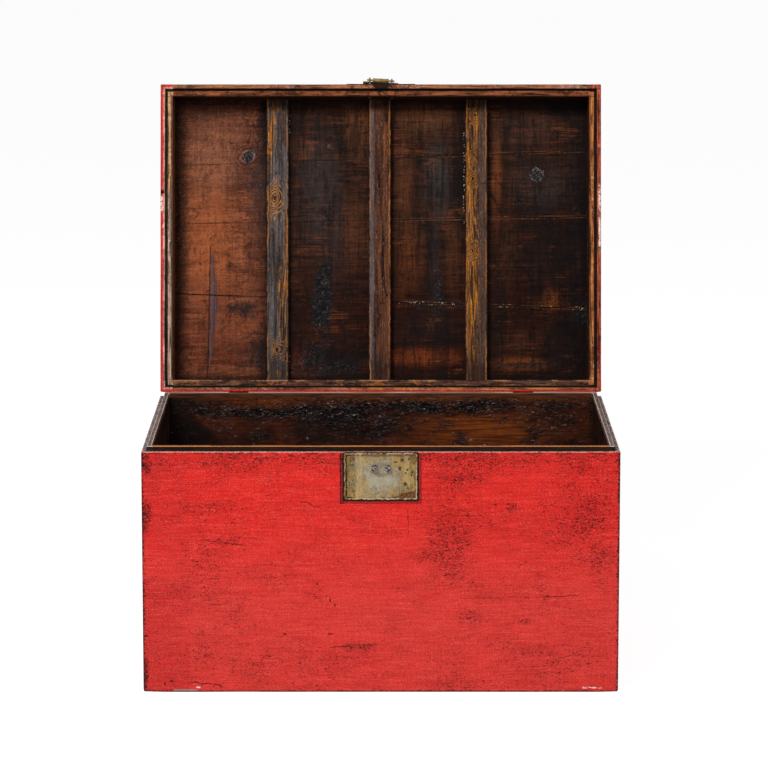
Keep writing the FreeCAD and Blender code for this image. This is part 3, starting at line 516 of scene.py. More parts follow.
def lid_rim():
    """The rim of the lid: worn wood in dark and pale runs, red left on the outer arris."""
    paint = Paint("lid_rim", on_lid=True)
    x, y, z = paint.x, paint.y, paint.z
    to_side = HALF_WIDTH - x.size()
    inward = to_side.least(HALF_DEPTH - y.size())
    at_side = to_side.fall(24.5, 26)
    fray = paint.cloud(0.14, 4, 0.70, 0.5, 61)
    mottle = paint.cloud(0.09, 5, 0.72, 0.9, 62)
    run = paint.cloud(0.016, 5, 0.70, 0.6, 63)
    grain = at_side * paint.cloud((0.30, 0.016, 0.3), 5, 0.70, 0.3, 64)
    grain = grain + (1 - at_side) * paint.cloud((0.016, 0.30, 0.3), 5, 0.70, 0.3, 65)
    tint = grain.rise(0.38, 0.60)
    edge = inward + (fray - 0.5) * 3

    to_right = x.rise(-1, 1)
    on_left, on_right = at_side * (1 - to_right), at_side * to_right
    at_hinge = y.rise(*BACK)
    lip = paint.mix(tint, (84, 48, 34), (160, 100, 66))
    lip = paint.mix(run.rise(0.50, 0.60) * 0.6, lip, (196, 138, 118))
    left_lip = paint.mix(tint, (104, 84, 70), (222, 160, 140))
    right_lip = paint.mix(tint, (62, 22, 16), (178, 96, 62))
    glow = at_hinge * x.rise(-150, 0)
    lip = paint.mix(glow * tint * 0.8, lip, (214, 136, 62))
    lip = paint.mix(at_side, lip, paint.mix(to_right, left_lip, right_lip))
    step = paint.mix(tint, (26, 12, 8), (148, 84, 50))
    left_step = paint.mix(tint, (74, 52, 40), (200, 164, 142))
    left_step = paint.mix(y.fall(-130, -60) * 0.7, left_step,
                          paint.mix(tint, (84, 48, 28), (210, 150, 96)))
    right_step = paint.mix(tint, (56, 24, 12), (204, 124, 70))
    step = paint.mix(at_side, step, paint.mix(to_right, left_step, right_step))
    worn = paint.cloud((0.030, 0.22, 0.2), 5, 0.74, 1, 66)
    step = paint.mix((1 - at_side) * at_hinge * 0.75, step,
                     paint.mix(worn.rise(0.44, 0.60), (22, 17, 17), (112, 84, 70)))
    amber = (1 - at_side) * (run + (worn - 0.5) * 0.5).rise(0.55, 0.60) * at_hinge
    step = paint.mix(amber * 0.85, step, (160, 92, 36))
    inner = paint.mix(tint, (18, 8, 4), (60, 32, 18))
    inner = paint.mix(on_left * 0.8, inner, (118, 62, 34))
    paint.colour = paint.mix(inward.rise(9, 9.8), lip, step)
    paint.lay(z.rise(LID_STEP + 0.8, LID_STEP + 2) * inward.rise(20, 22), inner)
    dark = (mottle + (run - 0.5) * 0.8).rise(0.52, 0.60)
    paint.lay(dark * (0.70 - at_side * 0.30 - glow * 0.25), (18, 11, 8))
    flecks = at_side * fray.rise(0.60, 0.66) * run.rise(0.46, 0.54)
    paint.lay(flecks * 0.7, (196, 196, 188))
    # painted shade where the lip shades its upright inner face and the step beside it, carried out
    # onto the lip's inner arris
    lip_shade = inward.within(8.8, 12.4 + at_side * 1.8, 0.5) * z.rise(LID_RIM + 0.2, LID_RIM + 0.8)
    paint.lay(lip_shade * 0.96, (6, 3, 2))
    lip_arris_shade = edge.within(8.4, 9.8, 0.6) * z.fall(LID_RIM + 2, LID_RIM + 3)
    paint.lay(lip_arris_shade * (0.9 - on_left * 0.7), (14, 9, 8))
    arris = edge.within(22 - at_side, 25, 0.8) * z.fall(LID_STEP + 1, LID_STEP + 2.4)
    pale_arris = arris * run.rise(0.44, 0.58) * at_hinge
    paint.lay(pale_arris * 0.7, (178, 124, 92))
    paint.lay((arris - pale_arris) * 0.7, (26, 14, 10))

    # the red arris: wide on the left and at the hinges, rubbed to black and white elsewhere
    width = 1.4 + on_left * 4.6 + (1 - at_side) * at_hinge * 3 + on_right * 2
    red_edge = (width - edge).rise(0, 1.2)
    rubbed = mottle.rise(0.47, 0.56) * (1 - on_left * 0.8) * (1 - at_hinge * 0.8)
    red = paint.mix(rubbed, (206, 30, 28), (52, 18, 16))
    paint.lay(red_edge * 0.95, red)
    outline = edge.fall(0.6, 1.6) * (1 - rubbed * 0.5)
    paint.lay(outline * 0.85, (24, 14, 12))
    h = paint.h
    chips = on_right * h.within(300, 410, 20) * edge.within(1.6, 5, 0.8)
    left_chips = on_left * h.within(372, 396, 5) * edge.fall(4, 6) * fray.rise(0.40, 0.52)
    chips = (chips * fray.rise(0.44, 0.50)).most(left_chips)
    paint.lay(chips * 0.9, (228, 192, 178))
    # a dark spot for a small notch in the left lip, painted as the notch's shade, and a dark patch
    # on the lip below the hasp
    notch = paint.spot(inward, h, (2, 408), (6, 4), 0.3, fray) * on_left
    marking = paint.spot(x, y, (1, -310), (21, 13), 0.25, fray)
    paint.lay(notch.most(marking) * 0.95, (10, 6, 4))
    paint.dim(0.75 + fray.rise(0.3, 0.7) * 0.5)
    height = grain * 0.5 + mottle * 0.4
    return paint.finish(0.58 + mottle * 0.2, height, 0.6, 0.0006, specular=0.06)


STAINS_AND_SHADE = (
    # on the planks, seen on the open lid: middle, reach, colour, strength; stains, and painted
    # shadow along the left wall
    # warm places
    ((-390, 560), (50, 60), (60, 34, 24), 0.60),
    ((-300, 590), (60, 22), (48, 26, 18), 0.65),
    ((-340, 100), (90, 60), (84, 36, 20), 0.55),
    ((-300, 520), (30, 60), (96, 58, 44), 0.50),
    ((-275, 440), (20, 60), (78, 44, 34), 0.60),
    ((-262, 240), (16, 60), (70, 36, 24), 0.55),
    ((-350, 205), (40, 50), (112, 54, 28), 0.50),
    ((-352, 480), (44, 70), (140, 88, 64), 0.50),
    ((-352, 310), (46, 90), (150, 80, 42), 0.65),
    ((-300, 150), (70, 50), (120, 64, 40), 0.45),
    ((-48, 560), (26, 50), (112, 66, 36), 0.60),
    ((-165, 505), (26, 22), (102, 58, 34), 0.60),
    ((-60, 330), (34, 60), (84, 46, 26), 0.50),
    ((-160, 60), (26, 30), (96, 46, 24), 0.55),
    ((88, 565), (60, 30), (92, 56, 34), 0.55),
    ((50, 440), (16, 90), (92, 52, 30), 0.50),
    ((55, 275), (28, 60), (88, 44, 20), 0.60),
    ((150, 300), (14, 80), (78, 44, 24), 0.50),
    ((90, 72), (62, 16), (116, 54, 22), 0.70),
    ((240, 440), (9, 90), (112, 58, 28), 0.60),
    ((300, 540), (70, 36), (66, 42, 34), 0.50),
    ((352, 192), (15, 20), (116, 60, 24), 0.65),
    ((260, 300), (20, 90), (72, 40, 22), 0.50),
    ((290, 58), (56, 12), (140, 72, 28), 0.75),
    ((300, 100), (60, 26), (74, 40, 24), 0.50),
    # dark and grey places
    ((-252, 430), (20, 95), (48, 34, 30), 0.80),
    ((-240, 560), (14, 60), (26, 16, 12), 0.85),
    ((-262, 330), (16, 60), (66, 38, 27), 0.60),
    ((-245, 78), (34, 40), (32, 24, 23), 0.85),
    ((-285, 175), (34, 16), (52, 30, 27), 0.65),
    # painted shadow of the lid's left wall, along the left edge of the planks
    ((-412, 330), (12, 320), (52, 28, 18), 0.70),
    ((-125, 420), (36, 110), (50, 42, 40), 0.70),
    ((-95, 330), (22, 90), (36, 28, 28), 0.60),
    ((-105, 65), (70, 18), (20, 13, 12), 0.85),
    ((118, 440), (26, 70), (48, 44, 43), 0.80),
    ((110, 300), (12, 150), (40, 30, 28), 0.70),
    ((158, 420), (14, 70), (18, 13, 12), 0.85),
    ((95, 130), (60, 30), (28, 17, 14), 0.70),
    ((385, 590), (46, 24), (12, 9, 9), 0.90),
    ((330, 420), (50, 46), (46, 38, 36), 0.70),
    ((408, 300), (20, 300), (24, 18, 19), 0.80),
    ((340, 290), (70, 70), (28, 17, 14), 0.65),
    ((380, 90), (44, 60), (20, 13, 12), 0.80),
    ((235, 120), (16, 70), (30, 18, 13), 0.60),
)
VARNISH_RUNS = (
    ((-140, 75), (22, 26), 0.8),
    ((118, 200), (10, 50), 0.6),
    ((-285, 172), (28, 14), 0.7),
    ((415, 165), (14, 20), 0.8),
    ((120, 180), (60, 7), 0.7),
    ((300, 56), (60, 8), 0.8),
    ((-110, 48), (60, 12), 0.7),
)
PLANK_KNOTS = (((-274.9, 486.7), 13), ((323.3, 451.5), 12), ((-104, 508), 5))


def grey_dagger(paint, smudge, saw):
    """A narrow grey dagger of bare wood beside a dark scratch."""
    h = paint.h
    shape = (h - 34) / 264
    left_edge = paint.x + 357 - shape * 6 + (smudge - 0.5) * 6
    width = (1 - (shape * 2 - 1.1).size() * 0.80) * 21
    dagger = left_edge.rise(0, 1.5) * (width - left_edge).rise(0, 5)
    dagger = dagger * h.within(40, 286, 14)
    paint.lay(dagger * 0.8, paint.mix(saw.rise(0.4, 0.6), (60, 44, 46), (88, 72, 74)))
    scratch = (left_edge + 1).size().fall(1, 2.2) * h.within(30, 300, 6)
    paint.lay(scratch * 0.75, (26, 14, 12))


def plank_joints(paint, patch, lines):
    """The joints of the planks, dark with a few pale chips."""
    x, y = paint.x, paint.y
    wobble = (paint.cloud(0.035, 4, 0.66, 0, 77) - 0.5) * 7
    chips = paint.cloud(0.20, 3, 0.6, 0.6, 78).rise(0.58, 0.63)
    right_side = x.rise(-40, 60)
    for (left, right), depth, strength in zip(LID_JOINTS, (0.35, 0.35, 0.85), (0.1, 0.1, 0.6)):
        middle = (left + right) / 2 - HALF_DEPTH
        slope = (right - left) / PLANK_SPAN
        away = (y - middle - x * slope + wobble * 0.5).size()
        joint = away.fall(0.8, 2.6) * (right_side * 0.4 + patch.rise(0.3, 0.6) * depth)
        paint.lay(joint.least(0.95), (9, 5, 4))
        lit = away.within(1.4, 2.6, 0.8) * right_side * lines.rise(0.44, 0.60) * 0.6
        paint.lay(lit, (108, 62, 36))
        pale = away.within(1.8, 3.6, 0.8) * chips * (0.15 + right_side * strength)
        paint.lay(pale, (158, 122, 90))


def plank_knots(paint, smudge, grit):
    """Knots: cracked hearts in a swirl of rings."""
    h = paint.h
    cracked = paint.cells(0.30, 85, paint.shifted(paint.place, 3, 0.3))
    for at, reach in PLANK_KNOTS:
        far = paint.distance(paint.x - at[0], (h - at[1]) * 1.1) + (smudge - 0.5) * 30
        rings = (far * 0.75).sum("SINE") * 0.5 + 0.5
        swirl = far.fall(reach, reach * 3.4) * rings.rise(0.3, 0.8)
        paint.lay(swirl * 0.7, (44, 22, 16))
        heart = paint.mix(cracked.rise(0.05, 0.22), (10, 8, 9), (72, 68, 70))
        paint.lay(far.fall(reach * 0.8, reach) * 0.95, heart)
        rim = far.within(reach * 0.9, reach * 1.1, 2) * grit.rise(0.50, 0.58)
        paint.lay(rim * 0.45, (160, 150, 150))


def smoked_planks():
    """The underside of the lid's planks: saw-marked wood, smoked and varnished unevenly."""
    paint = Paint("smoked_planks", on_lid=True)
    x, h = paint.x, paint.h
    grain = paint.cloud((0.008, 0.075, 0.1), 6, 0.74, 1.1, 71)
    lines = paint.cloud((0.012, 0.30, 0.1), 5, 0.72, 0.6, 72)
    saw = paint.cloud((0.30, 0.010, 0.1), 5, 0.72, 0.3, 73)
    drip = paint.cloud((0.038, 0.0055, 0.1), 5, 0.66, 0.6, 74)
    patch = paint.cloud(0.013, 5, 0.66, 0.9, 75)
    smudge = paint.cloud(0.045, 5, 0.74, 1, 76)
    grit = paint.cloud(0.30, 4, 0.74, 0.5, 79)

    left_bay = x.fall(-262, -232)
    lit = paint.mix(grain.rise(0.36, 0.64), (76, 36, 22), (132, 74, 46))
    deep = paint.mix(grain.rise(0.36, 0.66), (18, 8, 5), (60, 32, 18))
    low = h.fall(150, 340).most(x.rise(215, 245) * h.fall(340, 440))
    deep = paint.mix(low, deep, paint.moved(deep, "MULTIPLY", (0.70, 0.44, 0.36)))
    paint.colour = paint.mix(left_bay, deep, lit)
    for at, reach, marking, strength in STAINS_AND_SHADE:
        paint.lay(paint.spot(x, h, at, reach, 0.7, smudge) * strength, marking)
    black = drip.rise(0.48, 0.60) * (1 - left_bay * 0.7)
    paint.lay(black * 0.74, (10, 6, 5))
    paint.lay(smudge.rise(0.54, 0.64) * 0.62, (16, 8, 6))
    pale = patch.rise(0.50, 0.66) * lines.rise(0.44, 0.66) * smudge.rise(0.40, 0.56)
    paint.lay(pale * 0.36, (132, 70, 36))
    strong = patch.rise(0.40, 0.60) * 0.5 + 0.35 + (1 - left_bay) * 0.4
    hatch = (lines.rise(0.32, 0.68) - 0.5) * 0.6 + (saw.rise(0.32, 0.68) - 0.5) * 0.6
    deeper = x.rise(215, 245) * h.fall(400, 450) * 0.28
    glow = (smudge.rise(0.34, 0.62) - 0.5) * 0.7 + (drip.rise(0.34, 0.62) - 0.5) * 0.5
    paint.dim(0.74 - deeper + glow + hatch * strong + grit.rise(0.30, 0.70) * 0.56)
    # painted shade along the four edges of the planks, where the lid's walls shade them, darkest
    # close in
    corner = (x.size() - 426).most(h - 604).most(24 - h) + (smudge - 0.5) * 30
    paint.lay(corner.rise(-26, -4) * 0.45, (20, 10, 6))
    paint.lay(corner.rise(-12, -4) * 0.6, (8, 4, 3))

    # black varnish that has run and crackled
    run = paint.spot(x, h, (-121, 190), (20, 84), 0.4, smudge)
    run = run.most(paint.spots(x, h, VARNISH_RUNS, 0.5, smudge))
    roughness, relief = old_varnish(paint, run, (10, 8, 9), (50, 50, 54), 0.32)

    grey_dagger(paint, smudge, saw)
    plank_joints(paint, patch, lines)
    plank_knots(paint, smudge, grit)
    # pale specks all over: painted sheen
    gleam = paint.cloud((0.30, 0.34, 0.1), 3, 0.74, 0.6, 86).rise(0.56, 0.70)
    cold = paint.mix(left_bay, (74, 72, 78), (164, 138, 128))
    paint.lay(gleam * (0.34 - x.rise(0, 60) * 0.18 - low * 0.08), cold)
    dots = paint.cloud(0.26, 2, 0.6, 0.3, 80).rise(0.72, 0.76)
    paint.lay(dots * 0.5, (150, 130, 112))
    height = relief * 1.2 + grain * 0.3 + lines * 0.25 + saw * 0.2
    return paint.finish(roughness, height, 0.8, 0.0014, specular=0.05)


BATTENS = (
    # side and place, three colours of the wood, colour of its veins, where they show, strips
    # of another colour along the left and right edge, and knots
    ("left", -213, ((46, 40, 39), (94, 86, 84), (74, 50, 38)), (186, 118, 34),
     (((-229, 560), (9, 80), 1), ((-219, 392), (15, 34), 1), ((-200, 190), (9, 120), 0.8),
      ((-218, 88), (8, 16), 0.9), ((-212, 38), (20, 7), 1), ((-214, 590), (14, 10), 0.5)),
     None, None,
     (((-219, 400.3), 8.5), ((-216, 452), 2.6), ((-216, 505), 3.6), ((-216.2, 241.4), 3.4),
      ((-214, 88), 7))),
    ("middle", -2, ((30, 15, 10), (98, 58, 40), (78, 60, 52)), (130, 76, 34),
     (((8, 520), (10, 60), 0.5), ((6, 250), (12, 120), 0.5)),
     (-12.5, (86, 78, 78), 0.85), None,
     (((10, 455), 3.6), ((12, 200), 3.6))),
    ("right", 197, ((46, 26, 15), (108, 72, 50), (60, 38, 26)), (190, 120, 34),
     (((186, 430), (9, 110), 0.9), ((188, 250), (12, 100), 1), ((196, 560), (10, 30), 0.9),
      ((186, 90), (8, 60), 0.6)),
     None, (5, (78, 60, 52), 0.70),
     (((194, 571.8), 5.4), ((190, 490), 3), ((189, 440), 4.4), ((188, 292), 5.6))),
)


def rubbed_batten(name, place, main, vein, yellow_at, left, right, knots):
    """A batten of rubbed wood: long grain lines that bend about its knots, some of them yellow."""
    paint = Paint(name, on_lid=True)
    x, h = paint.x, paint.h
    fine = paint.cloud((0.34, 0.010, 0.3), 5, 0.72, 0.4, place + 1)
    patch = paint.cloud((0.05, 0.010, 0.1), 5, 0.68, 0.8, place + 2)
    smudge = paint.cloud(0.055, 5, 0.74, 1, place + 3)
    grit = paint.cloud(0.32, 4, 0.72, 0.5, place + 4)
    broad = paint.cloud((0.10, 0.006, 0.1), 4, 0.62, 0.8, place + 6)

    figure = paint.cloud((0.045, 0.0030, 0.1), 3, 0.55, 0.7, place)
    heart = about = 0
    for at, reach in knots:
        far = paint.distance(x - at[0], (h - at[1]) * 0.66)
        figure = figure + far.fall(0, reach * 3) * 0.34
        about = far.fall(reach * 1.2, reach * 3).most(about)
        heart = (far + (smudge - 0.5) * 9).fall(reach * 0.25, reach * 0.6).most(heart)
    grain = (figure * 90).sum("SINE") * 0.5 + 0.5
    bold = patch.rise(0.48, 0.60) * 0.3 + 0.15

    paint.colour = paint.mix(broad.rise(0.36, 0.62), main[0], main[1])
    paint.lay(patch.rise(0.50, 0.62) * 0.7, main[2])
    bold = bold.most(about * 0.75)
    paint.lay(grain.fall(0.10, 0.50) * bold, (34, 24, 20))
    veined = 0
    for at, reach, amount in yellow_at:
        veined = (paint.spot(x, h, at, reach, 0.7, smudge) * amount).most(veined)
    paint.lay((grain * 0.7 + broad * 0.6).rise(0.64, 1.00) * veined, vein)
    paint.lay(heart * 0.9, (22, 15, 12))
    inside = x - place
    if left is not None:
        strip = (inside + (smudge - 0.5) * 8).fall(left[0], left[0] + 1.5)
        paint.lay(strip * left[2], left[1])
    if right is not None:
        strip = (inside + (patch - 0.5) * 12).rise(right[0], right[0] + 2.5)
        paint.lay(strip * right[2], right[1])
    paint.lay(smudge.rise(0.57, 0.64) * 0.6, (26, 18, 15))
    # pale specks: painted sheen
    gleam = paint.cloud((0.34, 0.10, 0.3), 3, 0.74, 0.6, place + 5).rise(0.55, 0.68)
    paint.lay(gleam * 0.30, (160, 146, 140))
    foot = (h + (smudge - 0.5) * 70).fall(40, 90)
    paint.lay(foot * 0.6, (28, 22, 22))
    # painted shadow of the lid's front wall over the top ends of the battens
    top = (h + (smudge - 0.5) * 40).rise(566, 592)
    paint.lay(top * 0.65, (16, 9, 6))
    side = inside.size() + (smudge - 0.5) * 10
    paint.lay(side.within(18.5, 20.5, 0.8) * patch.rise(0.44, 0.56) * 0.7, (168, 104, 52))
    paint.lay(side.rise(20.5, 22) * 0.8, (20, 11, 8))
    paint.dim(0.26 + fine.rise(0.32, 0.68) * 0.65 + grit.rise(0.3, 0.7) * 0.6)
    height = fine * 0.5 + grain * 0.4
    return paint.finish(0.66 + fine * 0.12, height, 0.6, 0.0008, specular=0.04)


def plain_wood(name, dark, light, on_lid=False, dusty=0):
    """Plain boards seen from below, from inside the floor or on the ends of pegs."""
    paint = Paint(name, on_lid)
    grain = paint.cloud((0.008, 0.14, 0.14), 5, 0.62, 0.6, 81)
    fine = paint.cloud((0.03, 0.9, 0.9), 3, 0.6, 0.2, 82)
    patch = paint.cloud(0.012, 4, 0.6, 0.8, 83)
    paint.colour = paint.mix(grain.rise(0.34, 0.68), dark, light)
    paint.lay(patch.rise(0.50, 0.75) * 0.5, dark)
    paint.lay(paint.cloud(0.05, 4, 0.7, 0, 84) * dusty, (128, 116, 100))
    paint.dim(0.82 + fine * 0.3)
    return paint.finish(0.68 + grain * 0.1, grain * 0.6 + fine * 0.3, 0.5, 0.0006)


PITS = (
    # in the brass plates, from their middle: place and reach
    ((40, 31), (2.4, 3.2)), ((36, 15), (2.2, 4.4)), ((47, 6), (1.6, 1.8)),
    ((46, -15), (2.6, 3.6)), ((28, 27), (3.4, 1.6)), ((50, 12), (2.2, 2.2)),
    ((58, 2), (1.6, 2.6)), ((53, 33), (1.6, 2)), ((59, 8), (2, 2.4)),
)


def dull_brass(name, on_lid, plate_z=None):
    """Old brass: ochre and brown where it has tarnished, grey-green where hands have kept it."""
    paint = Paint(name, on_lid)
    x, z = paint.x, paint.z
    cloud = paint.cloud(0.045, 5, 0.68, 0.8, 91)
    smear = paint.cloud((0.09, 0.1, 0.022), 5, 0.70, 0.5, 92)
    speck = paint.cloud(0.30, 3, 0.70, 0.6, 93)
    mottle = paint.cloud(0.11, 4, 0.70, 1, 94)
    paint.colour = paint.mix(cloud.rise(0.36, 0.64), (104, 76, 36), (150, 122, 72))
    paint.lay(smear.rise(0.50, 0.62) * 0.6, (166, 144, 96))
    dark = smear.fall(0.32, 0.42) * 0.7
    if plate_z is not None:
        up = z - plate_z
        middle = paint.spot(x, up, (-2, -2), (42, 40), 0.5, cloud)
        grey = paint.mix(mottle.rise(0.36, 0.64), (112, 106, 88), (158, 152, 132))
        paint.lay(middle * 0.85, grey)
        left_run = x.within(-66, -50, 3) * (smear + (mottle - 0.5) * 0.6).rise(0.50, 0.56)
        foot_run = (x * 0.31 - up + (mottle - 0.5) * 18).rise(45, 48)
        top_run = (up + (mottle - 0.5) * 20).rise(36, 41) * 0.75
        right_run = x.rise(30, 40) * mottle.rise(0.54, 0.60) * 0.6
        dark = dark.most(left_run * 0.9).most(top_run).most(right_run)
        for at, reach in PITS:
            dark = dark.most(paint.spot(x, up, at, reach, 0.35, speck))
        rubbed = paint.spot(x, up, (0, 3), (10, 5), 0.6, mottle)
        paint.lay(rubbed * 0.45, (70, 62, 52))
    paint.lay(dark * 0.9, (34, 22, 14))
    paint.lay(speck.rise(0.60, 0.66) * 0.6, (44, 32, 20))
    paint.lay(speck.fall(0.33, 0.40) * 0.5, (186, 172, 130))
    if plate_z is not None:
        paint.lay(foot_run * 0.8, paint.mix(speck.rise(0.4, 0.6), (34, 10, 7), (104, 52, 34)))
        rim = (PLATE_HALF[0] - x.size()).least(PLATE_HALF[1] - up.size()) + (mottle - 0.5) * 9
        tarnish = (rim + (smear - 0.5) * 26).fall(3, 9)
        paint.lay(tarnish * 0.6, paint.mix(mottle.rise(0.42, 0.58), (52, 34, 14), (134, 98, 44)))
        streak = (x + (mottle - 0.5) * 16).within(-60, -38, 5)
        streak = streak * (smear + (speck - 0.5) * 0.5).rise(0.50, 0.62)
        paint.lay(streak * 0.3, (186, 154, 92))
        pale = paint.spot(x.size(), up, (13, -8), (9, 8), 0.6, mottle)
        paint.lay(pale * 0.45, (172, 166, 146))
        pale = rim.within(2.4, 3.4, 0.7) * smear.rise(0.42, 0.54)
        paint.lay(pale * 0.7, (196, 180, 150))
        dark_rim = rim.fall(1, 2.2).most(rim.within(4.4, 6, 0.7) * x.fall(-56, -52))
        paint.lay(dark_rim, (12, 8, 6))
    roughness = 0.50 + cloud * 0.16 + dark * 0.2
    height = cloud * 0.7 + mottle * 0.5 - dark * 0.5 + speck * 0.2
    return paint.finish(roughness, height, 0.7, 0.0008, 0.2, specular=0.12)


def dark_brass(name, on_lid):
    """The loops and eyes of the hasp: nearly black, with a cold glint painted on as a highlight."""
    paint = Paint(name, on_lid)
    cloud = paint.cloud(0.20, 3, 0.66, 0.6, 97)
    rubbed = paint.cloud(0.30, 3, 0.70, 0.6, 98)
    paint.colour = paint.mix(cloud.rise(0.36, 0.64), (20, 14, 12), (78, 62, 54))
    # pale lilac spots: painted glints on the dark metal
    paint.lay(rubbed.rise(0.50, 0.58) * 0.85, (184, 168, 176))
    return paint.finish(0.44 + cloud * 0.2, rubbed, 0.6, 0.0005, 0.3, specular=0.15)


def forged_iron(name, dark, pale):
    """Hinge iron with a little rust, clouded between the dark and the pale tone it is given."""
    paint = Paint(name)
    cloud = paint.cloud(0.06, 4, 0.62, 0.6, 95)
    rust = paint.cloud(0.16, 4, 0.66, 0.8, 96)
    paint.colour = paint.mix(cloud.rise(0.35, 0.65), dark, pale)
    paint.lay(rust.rise(0.52, 0.64) * 0.7, (104, 58, 34))
    height = cloud * 0.5 + rust * 0.4
    return paint.finish(0.52 + rust * 0.2, height, 0.6, 0.0006, 0.6)


# --- pieces ---------------------------------------------------------------------------------------
SECTIONS = 24                        # along each bar of a board
WANDER = 0.35                        # how far its edges stray
WANDER_FINENESS = 0.018
SHARP = 0.7                          # the least angle, in radians, of an edge that is broken
FOOT_RADIUS = 6.5


def added(name, data):
    """A new object in the scene."""
    thing = bpy.data.objects.new(name, data)
    bpy.context.scene.collection.objects.link(thing)
    return thing


def keep(name, mesh, body, slot, *nodes):
    """Put a finished mesh in the scene, on its body, in the place of the nodes it stands for."""
    piece = added(name, mesh)
    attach(piece, body)
    if nodes:
        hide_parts(*nodes)


def break_edges(work, edges, width):
    """Round the sharp ones among the edges."""
    sharp = [edge for edge in edges
             if len(edge.link_faces) == 2 and edge.calc_face_angle(0) > SHARP]
    bmesh.ops.bevel(work, geom=sharp, offset=width * MM, segments=2, profile=0.5, affect="EDGES",
                    clamp_overlap=True)


def dress_faces(work, mesh, choose):
    """Give each face the finish that is chosen for its place and its direction."""
    for face in work.faces:
        finish = choose(face.calc_center_median() / MM, face.normal)
        if finish.name not in mesh.materials:
            mesh.materials.append(finish)
        face.material_index = mesh.materials.find(finish.name)


def prism(work, outline, start, end, along, bevel, seed):
    """Add a bar to the work: an outline of (inward, up) points run from start to end."""
    rings = []
    for step in range(SECTIONS + 1):
        run = start + (end - start) * step / SECTIONS
        ring = []
        for inward, up in outline:
            place = Vector(along(inward, run, up))
            drift = place * WANDER_FINENESS + Vector((seed, 0, 0))
            place += noise.noise_vector(drift) * WANDER
            place.x = max(-HALF_WIDTH, min(HALF_WIDTH, place.x))
            place.y = max(-HALF_DEPTH, min(HALF_DEPTH, place.y))
            place.z = max(0, min(LID_TOP, place.z))
            ring.append(work.verts.new(place * MM))
        rings.append(ring)
    faces = []
    for first, second in zip(rings, rings[1:]):
        for index in range(len(outline)):
            other = (index + 1) % len(outline)
            corners = (first[index], first[other], second[other], second[index])
            faces.append(work.faces.new(corners))
    faces.append(work.faces.new(rings[0][::-1]))
    faces.append(work.faces.new(rings[-1]))
    bmesh.ops.recalc_face_normals(work, faces=faces)
    break_edges(work, dict.fromkeys(edge for face in faces for edge in face.edges), bevel)


def round_feet(mesh):
    """Draw the lower corners of the carcass in to a small curve, as knocks have rounded them."""
    radius = FOOT_RADIUS
    for vertex in mesh.vertices:
        inward = HALF_WIDTH - abs(vertex.co.x) / MM - radius
        up = vertex.co.z / MM - radius
        far = math.hypot(inward, up)
        if inward < 0 and up < 0 and far > radius:
            side = math.copysign(1, vertex.co.x)
            vertex.co.x = side * (HALF_WIDTH - radius - inward * radius / far) * MM
            vertex.co.z = (radius + up * radius / far) * MM


def board(name, body, node, bars, choose, on_lid, seed=0):
    """A board made of bars, with a finish chosen for each of its faces."""
    work = bmesh.new()
    for outline, start, end, along, bevel in bars:
        prism(work, outline, start, end, along, bevel, seed)
    mesh = bpy.data.meshes.new(name)
    dress_faces(work, mesh, choose)
    work.to_mesh(mesh)
    work.free()
    if on_lid:
        mesh.transform(SWING)
    else:
        round_feet(mesh)
    keep(name, mesh, body, "lacquered_board", node)


def front_run(sign):
    """Bars of the front (-1) or back (+1) board, which run along X."""
    return lambda inward, run, up: (run, sign * (HALF_DEPTH - inward), up)


def side_run(sign):
    """Bars of the left (-1) or right (+1) board, which run along Y."""
    return lambda inward, run, up: (sign * (HALF_WIDTH - inward), run, up)


lacquer = red_lacquer(on_lid=False)
lid_lacquer = red_lacquer(on_lid=True)
rim_finish = carcass_rim()
inside_finish = carcass_inside()
lid_rim_finish = lid_rim()
under_wood = plain_wood("underside_wood", (58, 40, 28), (98, 72, 50), dusty=0.4)


def carcass_face(centre, normal):
    """Which finish a face of the carcass has."""
    outward = max(abs(centre.x) - HALF_WIDTH, abs(centre.y) - HALF_DEPTH)
    if centre.z > LEDGE - 0.4:
        return rim_finish
    if centre.z < 1 and normal.z < -0.7:
        return under_wood
    return lacquer if outward > -2.5 else inside_finish


def lid_face(centre, normal):
    """Which finish a face of the closed lid has."""
    outward = max(abs(centre.x) - HALF_WIDTH, abs(centre.y) - HALF_DEPTH)
    if centre.z > LID_TOP - 2.5 or outward > -0.8 and centre.z > LID_RIM + 0.9:
        return lid_lacquer
    return lid_rim_finish


FOOT_CURVE = [(0, 7), (0, 4.5), (0.6, 1.6)]             # outlines of bars: inward and up
CARCASS_BODY = [(2.2, 0), (LEDGE_WIDTH, 0), (LEDGE_WIDTH, REBATE), (WALL, REBATE), (WALL, LEDGE),
                (0, LEDGE), *FOOT_CURVE]
CARCASS_FOOT = [(2.2, 0), (LEDGE_WIDTH, 0), (LEDGE_WIDTH, REBATE), (0, REBATE), *FOOT_CURVE]
CARCASS_LIP = [(LEDGE_WIDTH, LEDGE - 2), (WALL, LEDGE - 2), (WALL, LIP_TOP),
               (LEDGE_WIDTH, LIP_TOP)]
LID_BODY = [(0, LID_RIM), (LID_RIM_WIDTH, LID_RIM), (LID_RIM_WIDTH, LID_STEP),
            (LID_WALL, LID_STEP), (LID_WALL, PANEL), (REBATE, PANEL), (REBATE, LID_TOP),
            (0, LID_TOP)]
LID_SEAT = [(0, PANEL), (REBATE, PANEL), (REBATE, LID_TOP), (0, LID_TOP)]
LID_CORNER = [(LID_RIM_WIDTH, LID_RIM), (LID_WALL, LID_RIM), (LID_WALL, LID_STEP + 1),
              (LID_RIM_WIDTH, LID_STEP + 1)]


